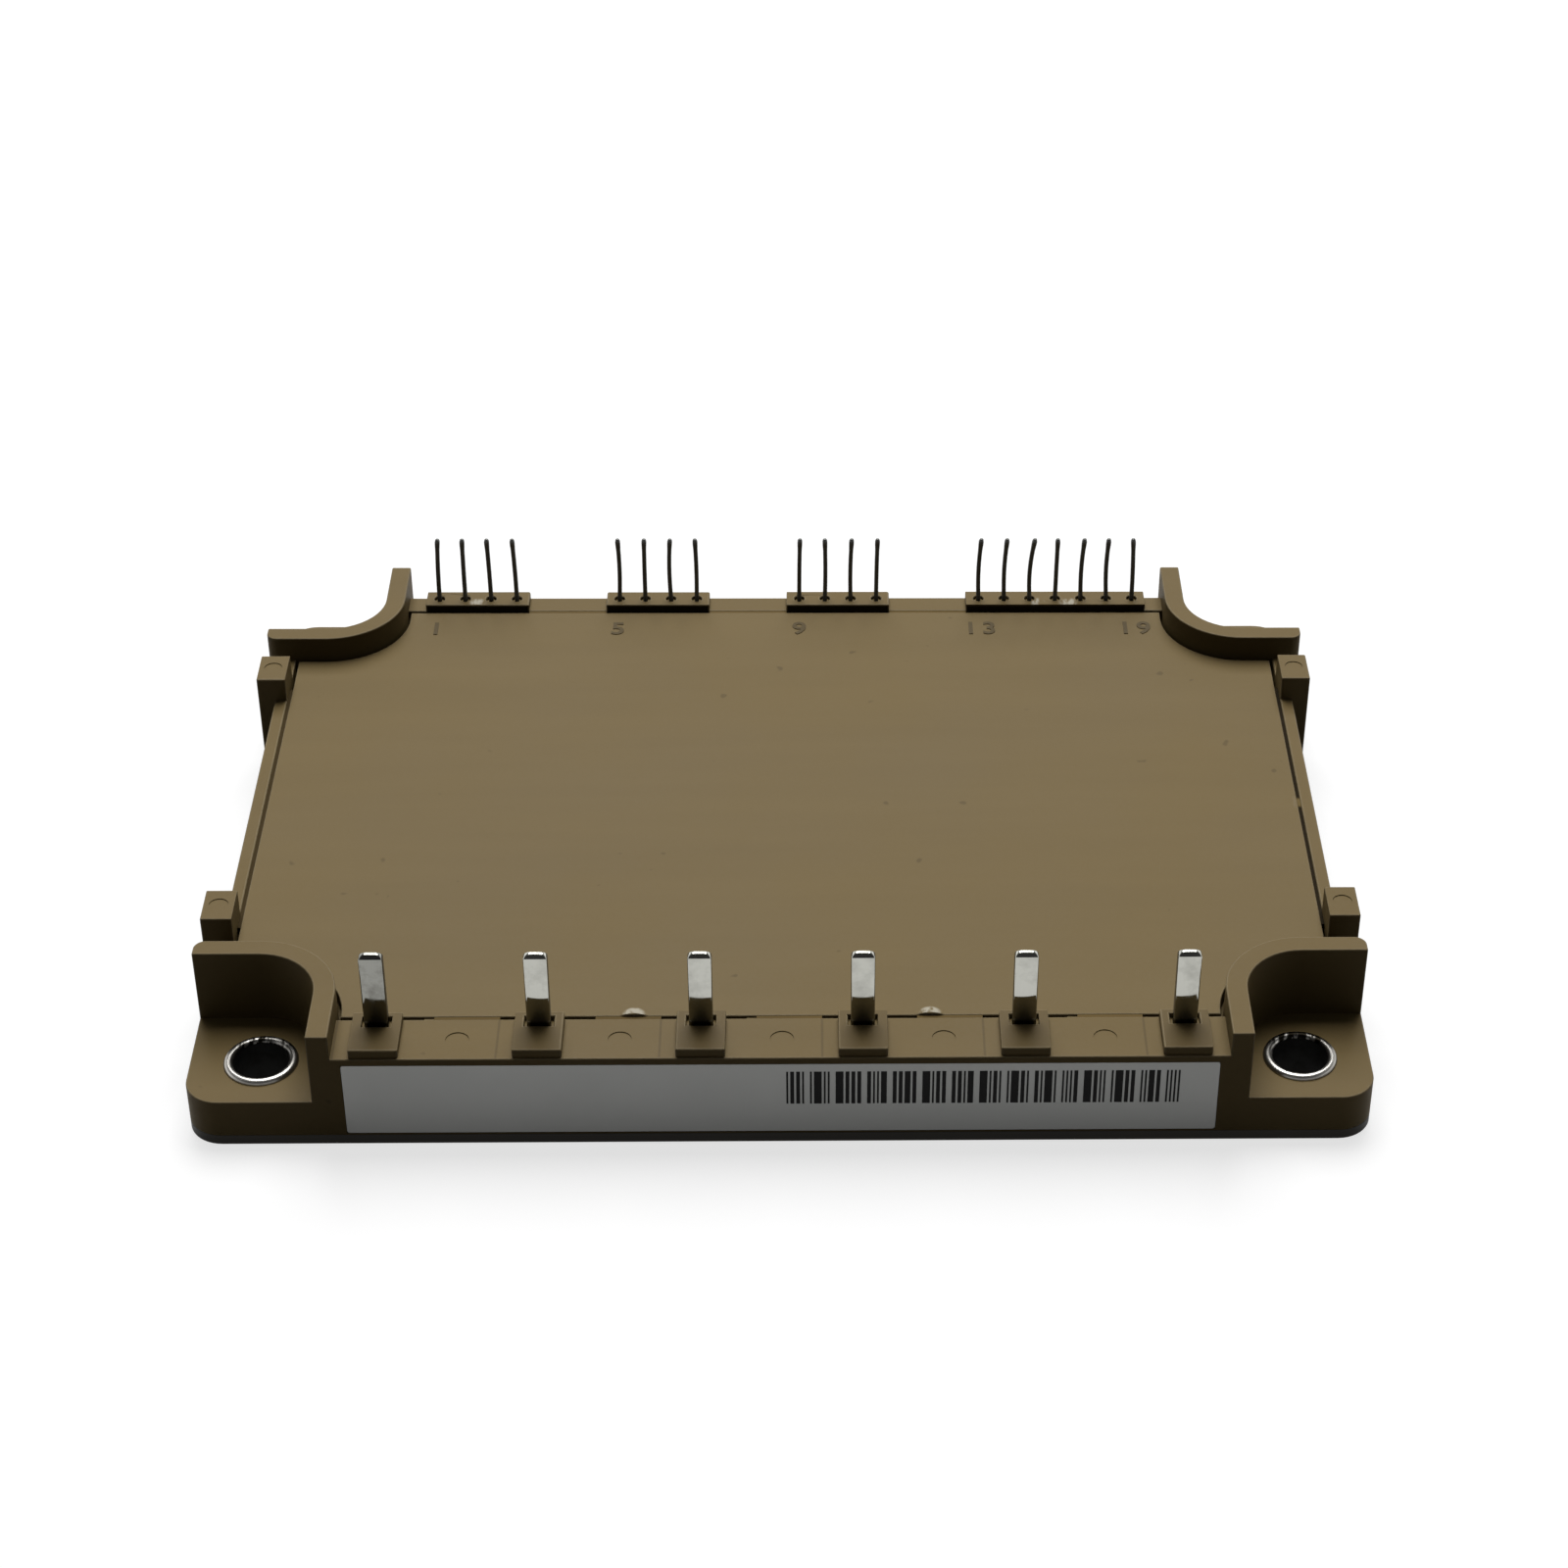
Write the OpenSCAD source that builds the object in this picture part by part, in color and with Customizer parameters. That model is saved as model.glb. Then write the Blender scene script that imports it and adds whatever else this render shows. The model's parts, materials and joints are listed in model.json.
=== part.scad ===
// Flat-base power module: a moulded frame and lid on a metal base plate, six blade
// terminals along the front, nineteen control pins along the rear, and the power
// stage and control board sealed inside.
//
// X runs to the right, Y from the blade side to the pin side and Z up. The origin is
// the centre of the base plate's underside. All sizes are in millimetres.

/* [Outline] */
// Overall width
body_w = 100; // [98:0.5:120]
// Overall depth, over the four mounting flanges
body_d = 72.5; // [70:0.5:90]
// Radius of the four outer corners
corner_r = 3; // [1:0.5:4]
// How far the side walls stand in from the overall width
side_inset = 1.55; // [1:0.05:2.5]
// How far the rear wall stands in from the overall depth
rear_inset = 1.9; // [1:0.1:2.4]

/* [Heights] */
// Thickness of the base plate
base_t = 1; // [0.8:0.1:1.2]
// Height of the foot that runs right round the frame
foot_top = 2.6; // [2:0.1:4]
// Height of the four mounting flanges
flange_top = 4.6; // [4:0.1:6]
// Height of the frame's rim and of the lid
rim_top = 9.2; // [9.2:0.1:14]
// Rise of the corner walls and side posts above the rim
wall_rise = 2.4; // [1:0.1:5]

/* [Corner recesses] */
// Width of a recess, from the overall width to its wall
recess_w = 10.85; // [10:0.05:11.2]
// Depth of a recess, from the overall depth to its wall
recess_d = 11.05; // [10:0.05:12.5]
// Inner radius of the wall round a recess
recess_r = 5.2; // [3:0.1:6]
// Thickness of the wall round a recess
wall_t = 1.85; // [1.4:0.05:2.2]
// Radius on the outer end of that wall, on the side away from the hole
wall_end_r = 1; // [0.4:0.1:1.3]

/* [Mounting bushes] */
// Distance from a side to the hole centres
hole_edge_x = 6; // [5:0.1:7]
// Distance from the front or rear to the hole centres
hole_edge_y = 5.25; // [5:0.05:6]
// Bore of a bush
bush_bore = 4.7; // [3.5:0.1:5.4]
// Wall of a bush below its rolled rim
bush_wall = 0.45; // [0.3:0.05:0.6]
// Radius of the rolled rim's rounded top
bush_rim_r = 0.4; // [0.3:0.05:0.6]

/* [Side posts] */
// Distance from the front or rear to a post
post_y = 15.85; // [15.5:0.05:20]
// Length of a post along the side
post_l = 4.1; // [2:0.1:8]

/* [Rim and lid] */
// Thickness of the side walls at the lid
side_wall_t = 1.15; // [0.8:0.05:1.4]
// Depth of the front rim, which carries the blade terminals
rim_front = 5.2; // [5:0.1:5.8]
// Depth of the rear rim, which carries the control pins
rim_rear = 2.4; // [2:0.1:3]
// Thickness of the lid
lid_t = 1.4; // [0.8:0.1:1.6]
// Open groove between the lid and the frame
lid_gap = 0.3; // [0.1:0.05:0.4]
// Width of each step inside the frame, for the lid and for the control board
step_w = 1.5; // [1:0.1:2]
// Distance from the middle to each half-round lug on the lid's front edge
lug_x = 12.45; // [10.5:0.05:15]
// Radius of a lug
lug_r = 1.2; // [0.8:0.05:1.6]
// Rise of a lug above the lid
lug_h = 0.25; // [0.1:0.05:0.5]
// Length of each crush rib between the blades, on the lid's front edge
rib_l = 6; // [3:0.5:8]
// Gap between a crush rib and the frame
rib_gap = 0.05; // [0.02:0.01:0.1]
// Drop of a crush rib below the lid's face
rib_drop = 0.2; // [0.1:0.05:0.6]

/* [Moulding marks] */
// Radius of the ejector marks on the front rim
rim_mark_r = 1; // [0.6:0.05:1.6]
// Distance from the front to the middle of those marks
rim_mark_y = 2.5; // [2:0.1:3]
// Radius of the ejector marks on the side posts
post_mark_r = 0.85; // [0.4:0.05:0.9]
// Depth of the ejector marks
mark_depth = 0.08; // [0.05:0.01:0.3]

/* [Blade terminals] */
// Number of blades
blade_count = 6; // [2:1:6]
// Distance between blades
blade_pitch = 13.5; // [12.7:0.1:13.6]
// Width of a blade
blade_w = 2; // [1.5:0.1:3]
// Thickness of a blade
blade_t = 0.8; // [0.6:0.05:1]
// Distance from the front to a blade
blade_y = 3.6; // [2.6:0.1:4]
// Rise of a blade above its pad
blade_rise = 7.2; // [4:0.1:12]
// Distance that a blade's foot stops short of the power stage's window
blade_inset = 0.8; // [0.3:0.1:1.5]
// Length of the bevel on both faces of a blade's tip
blade_tip = 0.5; // [0.3:0.1:1.5]
// Radius on the two top corners of a blade
blade_r = 0.55; // [0.3:0.05:0.7]
// Clearance sunk into the pad round a blade
slot_gap = 0.25; // [0.1:0.05:0.35]
// Depth of that clearance
slot_depth = 0.5; // [0.2:0.1:1]
// Width of the pad under a blade
pad_w = 4.1; // [3.5:0.1:5]
// Height of the pad above the rim
pad_h = 0.8; // [0.3:0.1:1.5]
// Distance from the front to the pad
pad_y = 0.2; // [0.1:0.1:0.6]

/* [Control pins] */
// Number of pins in each group
pin_groups = [4, 4, 4, 7];
// Distance between pins
pin_pitch = 2.54; // [2:0.01:2.54]
// Number of pin places left empty between groups
skip_count = 3; // [1:1:3]
// Width of a pin
pin_w = 0.42; // [0.36:0.01:0.64]
// Thickness of a pin
pin_t = 0.5; // [0.4:0.01:0.64]
// Rise of a pin above its block
pin_rise = 6.9; // [4:0.1:12]
// Length of the taper at a pin's tip
pin_tip = 0.6; // [0.3:0.05:1]
// Height of the pin blocks above the rim
block_h = 0.7; // [0.3:0.1:1.5]
// Radius of the seat sunk round each pin
seat_r = 0.5; // [0.46:0.01:0.8]
// Depth of that seat
seat_depth = 0.35; // [0.1:0.05:0.6]

/* [Label] */
// Clear space at each end of the label
label_margin = 0.8; // [0.4:0.1:10]
// Distance from the rim down to the label's top edge
label_drop = 0.65; // [0.4:0.05:2]
// Distance from the base plate up to the label's lower edge
label_foot = 0.15; // [0.1:0.05:2]
// Thickness of the label, which lies flush in the front wall
label_t = 0.1; // [0.05:0.01:0.2]

/* [Power stage] */
// Thickness of each copper layer on the ceramic
copper_t = 0.3; // [0.2:0.05:0.3]
// Thickness of the ceramic
ceramic_t = 0.6; // [0.4:0.05:0.65]
// Clearance between the ceramic and the frame
ceramic_gap = 1.2; // [0.5:0.1:2]
// Bare border of the ceramic round its copper
copper_border = 0.8; // [0.5:0.1:1.2]
// Gap between copper tracks
track_gap = 0.8; // [0.5:0.1:1.2]
// Depth of the track that collects the lower switches
rail_d = 3.5; // [2.5:0.1:4]
// Depth of the tracks under the lower switches
island_d = 12; // [11:0.1:13]
// Depth of the row of signal tracks
signal_d = 1.7; // [1.2:0.1:2.5]
// Side of a switch chip
switch_s = 6; // [4:0.1:6]
// Side of a diode chip
diode_s = 4; // [3:0.1:4.4]
// Thickness of a chip
chip_t = 0.3; // [0.1:0.05:0.35]
// Gap between a switch and its diode
chip_gap = 0.6; // [0.4:0.1:1]
// Side of a bond wire
wire_s = 0.3; // [0.2:0.05:0.4]
// Distance from a track's edge to the wires bonded on it
wire_edge = 1.2; // [0.8:0.1:1.6]
// Rise of a bond wire's loop
wire_rise = 1.1; // [0.6:0.05:1.1]
// Height of the soft filling over the power stage
gel_top = 4.8; // [4.7:0.1:5]

/* [Control board] */
// Height of the step that carries the board
board_z = 5.2; // [5.2:0.1:5.4]
// Thickness of the board
board_t = 1; // [0.8:0.1:1]
// Clearance between the board and the frame
board_gap = 0.2; // [0.1:0.05:0.4]
// Distance from the middle of the module to the board's front edge
board_y = 8; // [4:0.5:12]
// Width of a driver circuit
driver_w = 9; // [4:0.5:10]
// Depth of a driver circuit
driver_d = 6.5; // [4:0.5:8]
// Height of a driver circuit
driver_h = 1.2; // [0.6:0.1:1.2]
// Number of signal links between the power stage and the board
link_count = 14; // [4:1:14]
// Distance between signal links
link_pitch = 5.08; // [2.54:0.01:5.08]
// Side of a square signal link
link_s = 0.64; // [0.4:0.01:0.8]

/* [Hidden] */
$fn = 64;
over = 1; // cutters run this far past the faces they open
half_w = body_w / 2;
half_d = body_d / 2;
wall_top = rim_top + wall_rise;

// Plan lines of the frame, measured from the middle
side_x = half_w - side_inset;
lid_x = side_x - side_wall_t;
leg_x = half_w - recess_w - wall_t;
rear_y = half_d - rear_inset;
lid_front = rim_front - half_d;
lid_rear = rear_y - rim_rear;
window_x = lid_x - 2 * step_w;
window_y = half_d - recess_d - wall_t - 2 * step_w;
lid_z = rim_top - lid_t;

hole_x = half_w - hole_edge_x;
hole_y = half_d - hole_edge_y;
bore_r = bush_bore / 2;

// Blades and pins
blade_x = [for (i = [0 : blade_count - 1]) (i - (blade_count - 1) / 2) * blade_pitch];
blade_front = blade_y - half_d;
blade_foot = -window_y - blade_inset - blade_front;
function pins_before(g) = g == 0 ? 0 : pin_groups[g - 1] + pins_before(g - 1);
group_first = [for (g = [0 : len(pin_groups) - 1]) pins_before(g) + g * skip_count];
pin_slots = [for (g = [0 : len(pin_groups) - 1], i = [0 : pin_groups[g] - 1]) group_first[g] + i];
pin_span = max(pin_slots);
function slot_x(s) = (s - pin_span / 2) * pin_pitch;
pin_y = (lid_rear + rear_y) / 2;
pin_z = board_z + board_t;
pin_foot = pin_y - lid_rear + 2 * step_w + board_gap;

// Power stage, from the base plate up
ceramic_x = window_x - ceramic_gap;
ceramic_y = window_y - ceramic_gap;
copper_x = ceramic_x - copper_border;
copper_y = ceramic_y - copper_border;
ceramic_z = base_t + copper_t;
track_z = ceramic_z + ceramic_t;
chip_z = track_z + copper_t;
wire_foot = 2 * wire_s;
foot_wire_y = -window_y - blade_inset - wire_edge;
island_front = -copper_y + rail_d + track_gap;
island_rear = island_front + island_d;
supply_rear = copper_y - signal_d - track_gap;
lower_y = (island_front + island_rear) / 2;
upper_y = (island_rear + track_gap + supply_rear) / 2;
wire_land = island_rear - wire_edge;
rail_y = -copper_y + rail_d / 2;
signal_y = copper_y - signal_d / 2;
// Six columns share the copper. Every switch has a diode beside it: four pairs stand
// on the lower tracks and three on the supply.
column_w = copper_x / 3;
supply_right = -copper_x + 2 * column_w - track_gap / 2;
cells = [for (i = [2 : 5]) [i, lower_y], for (i = [3 : 5]) [i, upper_y]];
function column_x(i) = (i - 2.5) * column_w;
function cell_x(c) = column_x(cells[c][0]);
switch_dx = (diode_s + chip_gap) / 2;
diode_dx = -(switch_s + chip_gap) / 2;

case_colour = [0.49, 0.43, 0.31];
tin_colour = [0.75, 0.75, 0.72];
copper_colour = [0.72, 0.45, 0.3];

function pin_name(i) = str("control_pin_", i < 10 ? "0" : "", i);

// ---- helpers ---------------------------------------------------------------

// Rectangle between two corners.
module rect(x0, y0, x1, y1) {
    translate([x0, y0]) square([x1 - x0, y1 - y0]);
}

// The child outline raised from z0 to z1.
module between(z0, z1) {
    translate([0, 0, z0]) linear_extrude(z1 - z0) children();
}

// Box between two corners.
module block(x0, y0, z0, x1, y1, z1) {
    between(z0, z1) rect(x0, y0, x1, y1);
}

// The child, drawn for the +X +Y corner, at all four corners.
module at_corners() {
    for (sx = [0, 1], sy = [0, 1])
        mirror([sx, 0, 0]) mirror([0, sy, 0]) children();
}

// ---- plan outlines ---------------------------------------------------------

// The module's overall outline, with its rounded corners.
module plate_plan() {
    x = half_w - corner_r;
    y = half_d - corner_r;
    difference() {
        rect(-half_w, -half_d, half_w, half_d);
        at_corners() difference() {
            rect(x, y, half_w + over, half_d + over);
            translate([x, y]) circle(corner_r);
        }
    }
}

// One corner recess, grown inwards; its inner corner stays concentric.
module recess_plan(grow = 0) {
    x = half_w - recess_w - grow;
    y = half_d - recess_d - grow;
    r = recess_r + grow;
    rect(x + r, y, body_w, body_d);
    rect(x, y + r, body_w, body_d);
    translate([x + r, y + r]) circle(r);
}

// The curved wall round one recess, rounded at its outer end.
module wall_plan() {
    end_y = half_d - recess_d - wall_t;
    difference() {
        intersection() {
            recess_plan(wall_t);
            rect(0, 0, half_w, half_d);
        }
        recess_plan();
        difference() {
            rect(half_w - wall_end_r, end_y - over, half_w + over, end_y + wall_end_r);
            translate([half_w - wall_end_r, end_y + wall_end_r]) circle(wall_end_r);
        }
    }
}

// The frame above its flanges: side, front and rear walls.
module body_plan() {
    difference() {
        rect(-side_x, -half_d, side_x, rear_y);
        at_corners() recess_plan();
    }
}

// The space inside the frame at the lid, less a margin all round.
module inside_plan(margin = 0) {
    difference() {
        rect(-lid_x + margin, lid_front + margin, lid_x - margin, lid_rear - margin);
        at_corners() recess_plan(wall_t + margin);
    }
}

// ---- leads -----------------------------------------------------------------

// Side view of a bent lead: a foot along +X, a bend and an upright with a bevelled tip.
module lead_side(t, foot_l, z0, top, tip_l) {
    r = 1.5 * t;
    inset = t / 4;
    polygon([[0, z0 + r], [t, z0 + r], [t, top - tip_l], [t - inset, top],
             [inset, top], [0, top - tip_l]]);
    rect(r, z0, foot_l, z0 + t);
    intersection() {
        translate([r, z0 + r]) difference() {
            circle(r);
            circle(r - t);
        }
        rect(0, z0, r, z0 + r);
    }
}

// A bent lead of width w, whose foot runs along +Y from the origin.
module lead(w, t, foot_l, z0, top, tip_l) {
    rotate([90, 0, 90]) linear_extrude(w, center = true)
        lead_side(t, foot_l, z0, top, tip_l);
}

module blade_lead(i) {
    top = rim_top + pad_h + blade_rise;
    translate([blade_x[i], blade_front, 0])
        lead(blade_w, blade_t, blade_foot, foot_top, top, blade_tip);
}

module pin_lead(i) {
    top = rim_top + block_h + pin_rise;
    translate([slot_x(pin_slots[i]), pin_y + pin_t / 2, 0]) mirror([0, 1, 0])
        lead(pin_w, pin_t, pin_foot, pin_z, top, pin_tip);
}

// Front view of a blade, with its two rounded top corners.
module blade_face() {
    x = blade_w / 2 - blade_r;
    top = rim_top + pad_h + blade_rise;
    rect(-blade_w / 2, 0, blade_w / 2, top - blade_r);
    rect(-x, 0, x, top);
    for (sx = [-1, 1]) translate([sx * x, top - blade_r]) circle(blade_r);
}

// Front view of a pin, with its tapered tip.
module pin_face() {
    x = pin_w / 2;
    top = rim_top + block_h + pin_rise;
    polygon([[-x, 0], [x, 0], [x, top - pin_tip], [x / 2, top], [-x / 2, top], [-x, top - pin_tip]]);
}

module main_terminal(i) {
    color(tin_colour) intersection() {
        blade_lead(i);
        translate([blade_x[i], half_d, 0]) rotate([90, 0, 0])
            linear_extrude(body_d) blade_face();
    }
}

module control_pin(i) {
    color([0.35, 0.35, 0.34]) intersection() {
        pin_lead(i);
        translate([slot_x(pin_slots[i]), half_d, 0]) rotate([90, 0, 0])
            linear_extrude(body_d) pin_face();
    }
}

// ---- housing ---------------------------------------------------------------

module base_plate() {
    color([0.6, 0.6, 0.58]) between(0, base_t) difference() {
        plate_plan();
        at_corners() translate([hole_x, hole_y]) circle(bore_r);
    }
}

// Post on the outside of a side wall, drawn for the +X +Y corner.
module side_post() {
    y1 = half_d - post_y;
    difference() {
        block(lid_x, y1 - post_l, base_t, half_w, y1, wall_top);
        translate([(lid_x + half_w) / 2, y1 - post_l / 2, wall_top - mark_depth])
            cylinder(r = post_mark_r, h = over);
    }
}

// The raised pads under the blades and the blocks under the pins.
module terminal_pads() {
    for (x = blade_x)
        block(x - pad_w / 2, pad_y - half_d, lid_z, x + pad_w / 2, lid_front, rim_top + pad_h);
}

module pin_blocks() {
    for (g = [0 : len(pin_groups) - 1])
        block(slot_x(group_first[g] - 0.5), lid_rear, lid_z,
              slot_x(group_first[g] + pin_groups[g] - 0.5), rear_y, rim_top + block_h);
}

// Clearance sunk into a pad round its blade.
module blade_slot(i) {
    x = blade_w / 2 + slot_gap;
    y = blade_front;
    z = rim_top + pad_h;
    block(blade_x[i] - x, y - slot_gap, z - slot_depth, blade_x[i] + x, y + blade_t + slot_gap, z + over);
}

// Shallow rounds left by the ejectors between the pads.
module rim_marks() {
    for (i = [1 : blade_count - 1])
        translate([(blade_x[i - 1] + blade_x[i]) / 2, rim_mark_y - half_d, rim_top - mark_depth])
            cylinder(r = rim_mark_r, h = over);
}

// The stepped well inside the frame: power stage, board and lid.
module well() {
    block(-window_x, -window_y, base_t - over, window_x, window_y, foot_top + over);
    between(foot_top, board_z + over) inside_plan(2 * step_w);
    between(board_z, lid_z + over) inside_plan(step_w);
    between(lid_z, wall_top + over) inside_plan();
}

module case() {
    color(case_colour) difference() {
        union() {
            between(base_t, foot_top) plate_plan();
            between(base_t, flange_top) at_corners() intersection() {
                plate_plan();
                recess_plan();
            }
            between(base_t, rim_top) body_plan();
            at_corners() between(base_t, wall_top) wall_plan();
            at_corners() side_post();
            terminal_pads();
            pin_blocks();
        }
        well();
        rim_marks();
        at_corners() translate([hole_x, hole_y, 0])
            cylinder(r = bore_r + bush_wall, h = wall_top);
        label_sheet();
        for (i = [0 : blade_count - 1]) {
            blade_lead(i);
            blade_slot(i);
        }
        for (i = [0 : len(pin_slots) - 1]) {
            pin_lead(i);
            translate([slot_x(pin_slots[i]), pin_y, rim_top + block_h - seat_depth])
                cylinder(r = seat_r, h = over);
        }
    }
}

// Lid, with domed half-round lugs and crush ribs along its front edge.
module lid() {
    dome_r = (lug_r * lug_r + lug_h * lug_h) / (2 * lug_h);
    edge = lid_front + lid_gap;
    color([0.5, 0.44, 0.32]) {
        between(lid_z, rim_top) inside_plan(lid_gap);
        for (sx = [-1, 1]) intersection() {
            translate([sx * lug_x, edge, rim_top + lug_h - dome_r]) sphere(dome_r);
            block(-lid_x, edge, rim_top - lug_h, lid_x, edge + body_d, wall_top);
        }
        for (i = [1 : 2 : blade_count - 1]) {
            x = (blade_x[i - 1] + blade_x[i]) / 2;
            block(x - rib_l / 2, lid_front + rib_gap, lid_z,
                  x + rib_l / 2, edge + over, rim_top - rib_drop);
        }
    }
}

// Blank label on the front wall.
module label_sheet() {
    x = leg_x - label_margin;
    block(-x, -half_d, base_t + label_foot, x, label_t - half_d, rim_top - label_drop);
}

// Tubular bush with a rolled rim, drawn for the +X +Y corner.
module bush() {
    translate([hole_x, hole_y, 0]) rotate_extrude() {
        rect(bore_r, base_t, bore_r + bush_wall, flange_top);
        intersection() {
            translate([bore_r + bush_rim_r, flange_top]) circle(bush_rim_r);
            rect(bore_r, flange_top, bore_r + 2 * bush_rim_r, flange_top + bush_rim_r);
        }
    }
}

module bush_at(right, rear) {
    color([0.82, 0.82, 0.8])
        mirror([1 - right, 0, 0]) mirror([0, 1 - rear, 0]) bush();
}

// ---- power stage -----------------------------------------------------------

module ceramic_layer(x, y, z0, z1) {
    block(-x, -y, z0, x, y, z1);
}

// Copper tracks: supply, four switched outputs, return rail and signal pads.
module copper_tracks() {
    color(copper_colour) between(track_z, chip_z) {
        rect(-copper_x, -copper_y, supply_right, supply_rear);
        rect(-copper_x, island_rear + track_gap, copper_x, supply_rear);
        rect(supply_right + track_gap, -copper_y, copper_x, -copper_y + rail_d);
        for (i = [2 : 5]) {
            x = column_x(i);
            w = (column_w - track_gap) / 2;
            rect(x - w, island_front, x + w, island_rear);
        }
        for (i = [0 : link_count - 1])
            translate([link_x(i), signal_y]) square(signal_d, center = true);
    }
}

function link_x(i) = (i - (link_count - 1) / 2) * link_pitch;

module chip(x, y, s) {
    block(x - s / 2, y - s / 2, chip_z, x + s / 2, y + s / 2, chip_z + chip_t);
}

module switch_chip(c) {
    color([0.3, 0.3, 0.33]) chip(cell_x(c) + switch_dx, cells[c][1], switch_s);
}

module diode_chip(c) {
    color([0.4, 0.4, 0.42]) chip(cell_x(c) + diode_dx, cells[c][1], diode_s);
}

// A wire bonded at (y0, z0) and (y1, z1): a parabola between two short flat feet.
module wire(x, y0, z0, y1, z1) {
    steps = 8;
    rise = wire_rise + (z0 + z1) / 2 - min(z0, z1);
    span = abs(y1 - y0) - 2 * wire_foot;
    low = [for (k = [0 : steps]) let (u = k / steps)
        [wire_foot + span * u, z0 + (z1 - z0) * u + 4 * rise * u * (1 - u)]];
    line = concat([[0, z0]], low, [[span + 2 * wire_foot, z1]]);
    back = [for (k = [len(line) - 1 : -1 : 0]) line[k] + [0, wire_s]];
    translate([x, y0, 0]) mirror([0, y1 < y0 ? 1 : 0, 0])
        rotate([90, 0, 90]) linear_extrude(wire_s, center = true)
            polygon(concat(line, back));
}

module bond_wires() {
    chip_top = chip_z + chip_t;
    foot_z = foot_top + blade_t;
    color([0.8, 0.8, 0.8]) {
        for (c = [0 : len(cells) - 1]) {
            y0 = cells[c][1];
            y1 = y0 == lower_y ? rail_y : wire_land;
            for (dx = [switch_dx - switch_s / 6, switch_dx + switch_s / 6, diode_dx])
                wire(cell_x(c) + dx, y0, chip_top, y1, chip_z);
        }
        for (i = [0 : blade_count - 1], dx = [-1, 1] * blade_w / 5)
            wire(blade_x[i] + dx, foot_wire_y, foot_z,
                 blade_x[i] < supply_right ? rail_y : island_front + wire_edge, chip_z);
    }
}

// Upright links from the signal pads to the underside of the board.
module signal_links() {
    color(tin_colour) for (i = [0 : link_count - 1])
        translate([link_x(i), signal_y, chip_z])
            linear_extrude(board_z - chip_z) square(link_s, center = true);
}

module power_stack() {
    ceramic_layer(copper_x, copper_y, base_t, ceramic_z);
    ceramic_layer(ceramic_x, ceramic_y, ceramic_z, track_z);
    copper_tracks();
}

// Soft filling round the power stage.
module gel() {
    color([0.9, 0.92, 0.95, 0.5]) difference() {
        union() {
            block(-window_x, -window_y, base_t, window_x, window_y, foot_top);
            between(foot_top, gel_top) inside_plan(2 * step_w);
        }
        power_stack();
        for (c = [0 : len(cells) - 1]) {
            switch_chip(c);
            diode_chip(c);
        }
        bond_wires();
        signal_links();
        for (i = [0 : blade_count - 1]) blade_lead(i);
    }
}

// ---- control board ---------------------------------------------------------

module control_board() {
    color([0.12, 0.35, 0.2]) between(board_z, board_z + board_t) intersection() {
        inside_plan(step_w + board_gap);
        rect(-half_w, board_y, half_w, half_d);
    }
}

module driver_circuit(g) {
    x = (slot_x(group_first[g]) + slot_x(group_first[g] + pin_groups[g] - 1)) / 2;
    color([0.12, 0.12, 0.13]) translate([x, (board_y + lid_rear) / 2 - step_w, pin_z])
        linear_extrude(driver_h) square([driver_w, driver_d], center = true);
}

// ---- pieces ----------------------------------------------------------------

base_plate();
case();
lid();
color([0.8, 0.82, 0.82]) label_sheet();  // label
bush_at(0, 0);  // bush_front_left
bush_at(1, 0);  // bush_front_right
bush_at(0, 1);  // bush_rear_left
bush_at(1, 1);  // bush_rear_right
for (i = [0 : blade_count - 1])
    main_terminal(i);
for (i = [0 : len(pin_slots) - 1])
    control_pin(i);
color(copper_colour) ceramic_layer(copper_x, copper_y, base_t, ceramic_z);  // back_copper
color([0.93, 0.93, 0.9]) ceramic_layer(ceramic_x, ceramic_y, ceramic_z, track_z);  // ceramic
copper_tracks();
for (c = [0 : len(cells) - 1]) {
    switch_chip(c);
    diode_chip(c);
}
bond_wires();
signal_links();
gel();
control_board();
for (g = [0 : len(pin_groups) - 1])
    driver_circuit(g);
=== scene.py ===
"""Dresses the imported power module: rounded mouldings, formed leads, finishes and a studio."""
import json
from math import cos, pi, radians, sin, tau

import bmesh
import bpy
import numpy as np
from bpy.props import FloatProperty, FloatVectorProperty, IntProperty, PointerProperty
from bpy.types import Operator, Panel, PropertyGroup
from mathutils import Matrix, Vector


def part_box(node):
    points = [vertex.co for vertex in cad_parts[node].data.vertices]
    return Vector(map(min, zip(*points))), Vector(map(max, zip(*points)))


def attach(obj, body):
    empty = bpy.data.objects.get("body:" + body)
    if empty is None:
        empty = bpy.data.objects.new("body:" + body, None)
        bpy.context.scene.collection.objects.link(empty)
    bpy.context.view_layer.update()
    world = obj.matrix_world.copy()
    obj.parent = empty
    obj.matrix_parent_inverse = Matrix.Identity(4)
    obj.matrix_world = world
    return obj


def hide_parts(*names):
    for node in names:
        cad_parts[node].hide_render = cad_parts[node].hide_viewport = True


bl_info = {
    "name": "Power module dressing",
    "version": (1, 0, 0),
    "blender": (4, 5, 0),
    "location": "View3D > Sidebar > Power module",
    "description": "Rounds, finishes and lights a packed power module",
    "category": "Object",
}

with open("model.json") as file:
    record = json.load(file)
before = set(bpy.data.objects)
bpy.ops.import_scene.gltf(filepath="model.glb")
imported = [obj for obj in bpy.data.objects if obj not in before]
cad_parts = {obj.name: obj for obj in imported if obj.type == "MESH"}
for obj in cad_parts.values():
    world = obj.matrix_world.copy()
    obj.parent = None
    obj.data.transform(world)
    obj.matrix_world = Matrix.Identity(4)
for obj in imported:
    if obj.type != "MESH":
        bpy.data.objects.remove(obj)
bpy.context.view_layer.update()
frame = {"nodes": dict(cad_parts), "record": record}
MM = 0.001

# ---- places worked out from the frame


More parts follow.
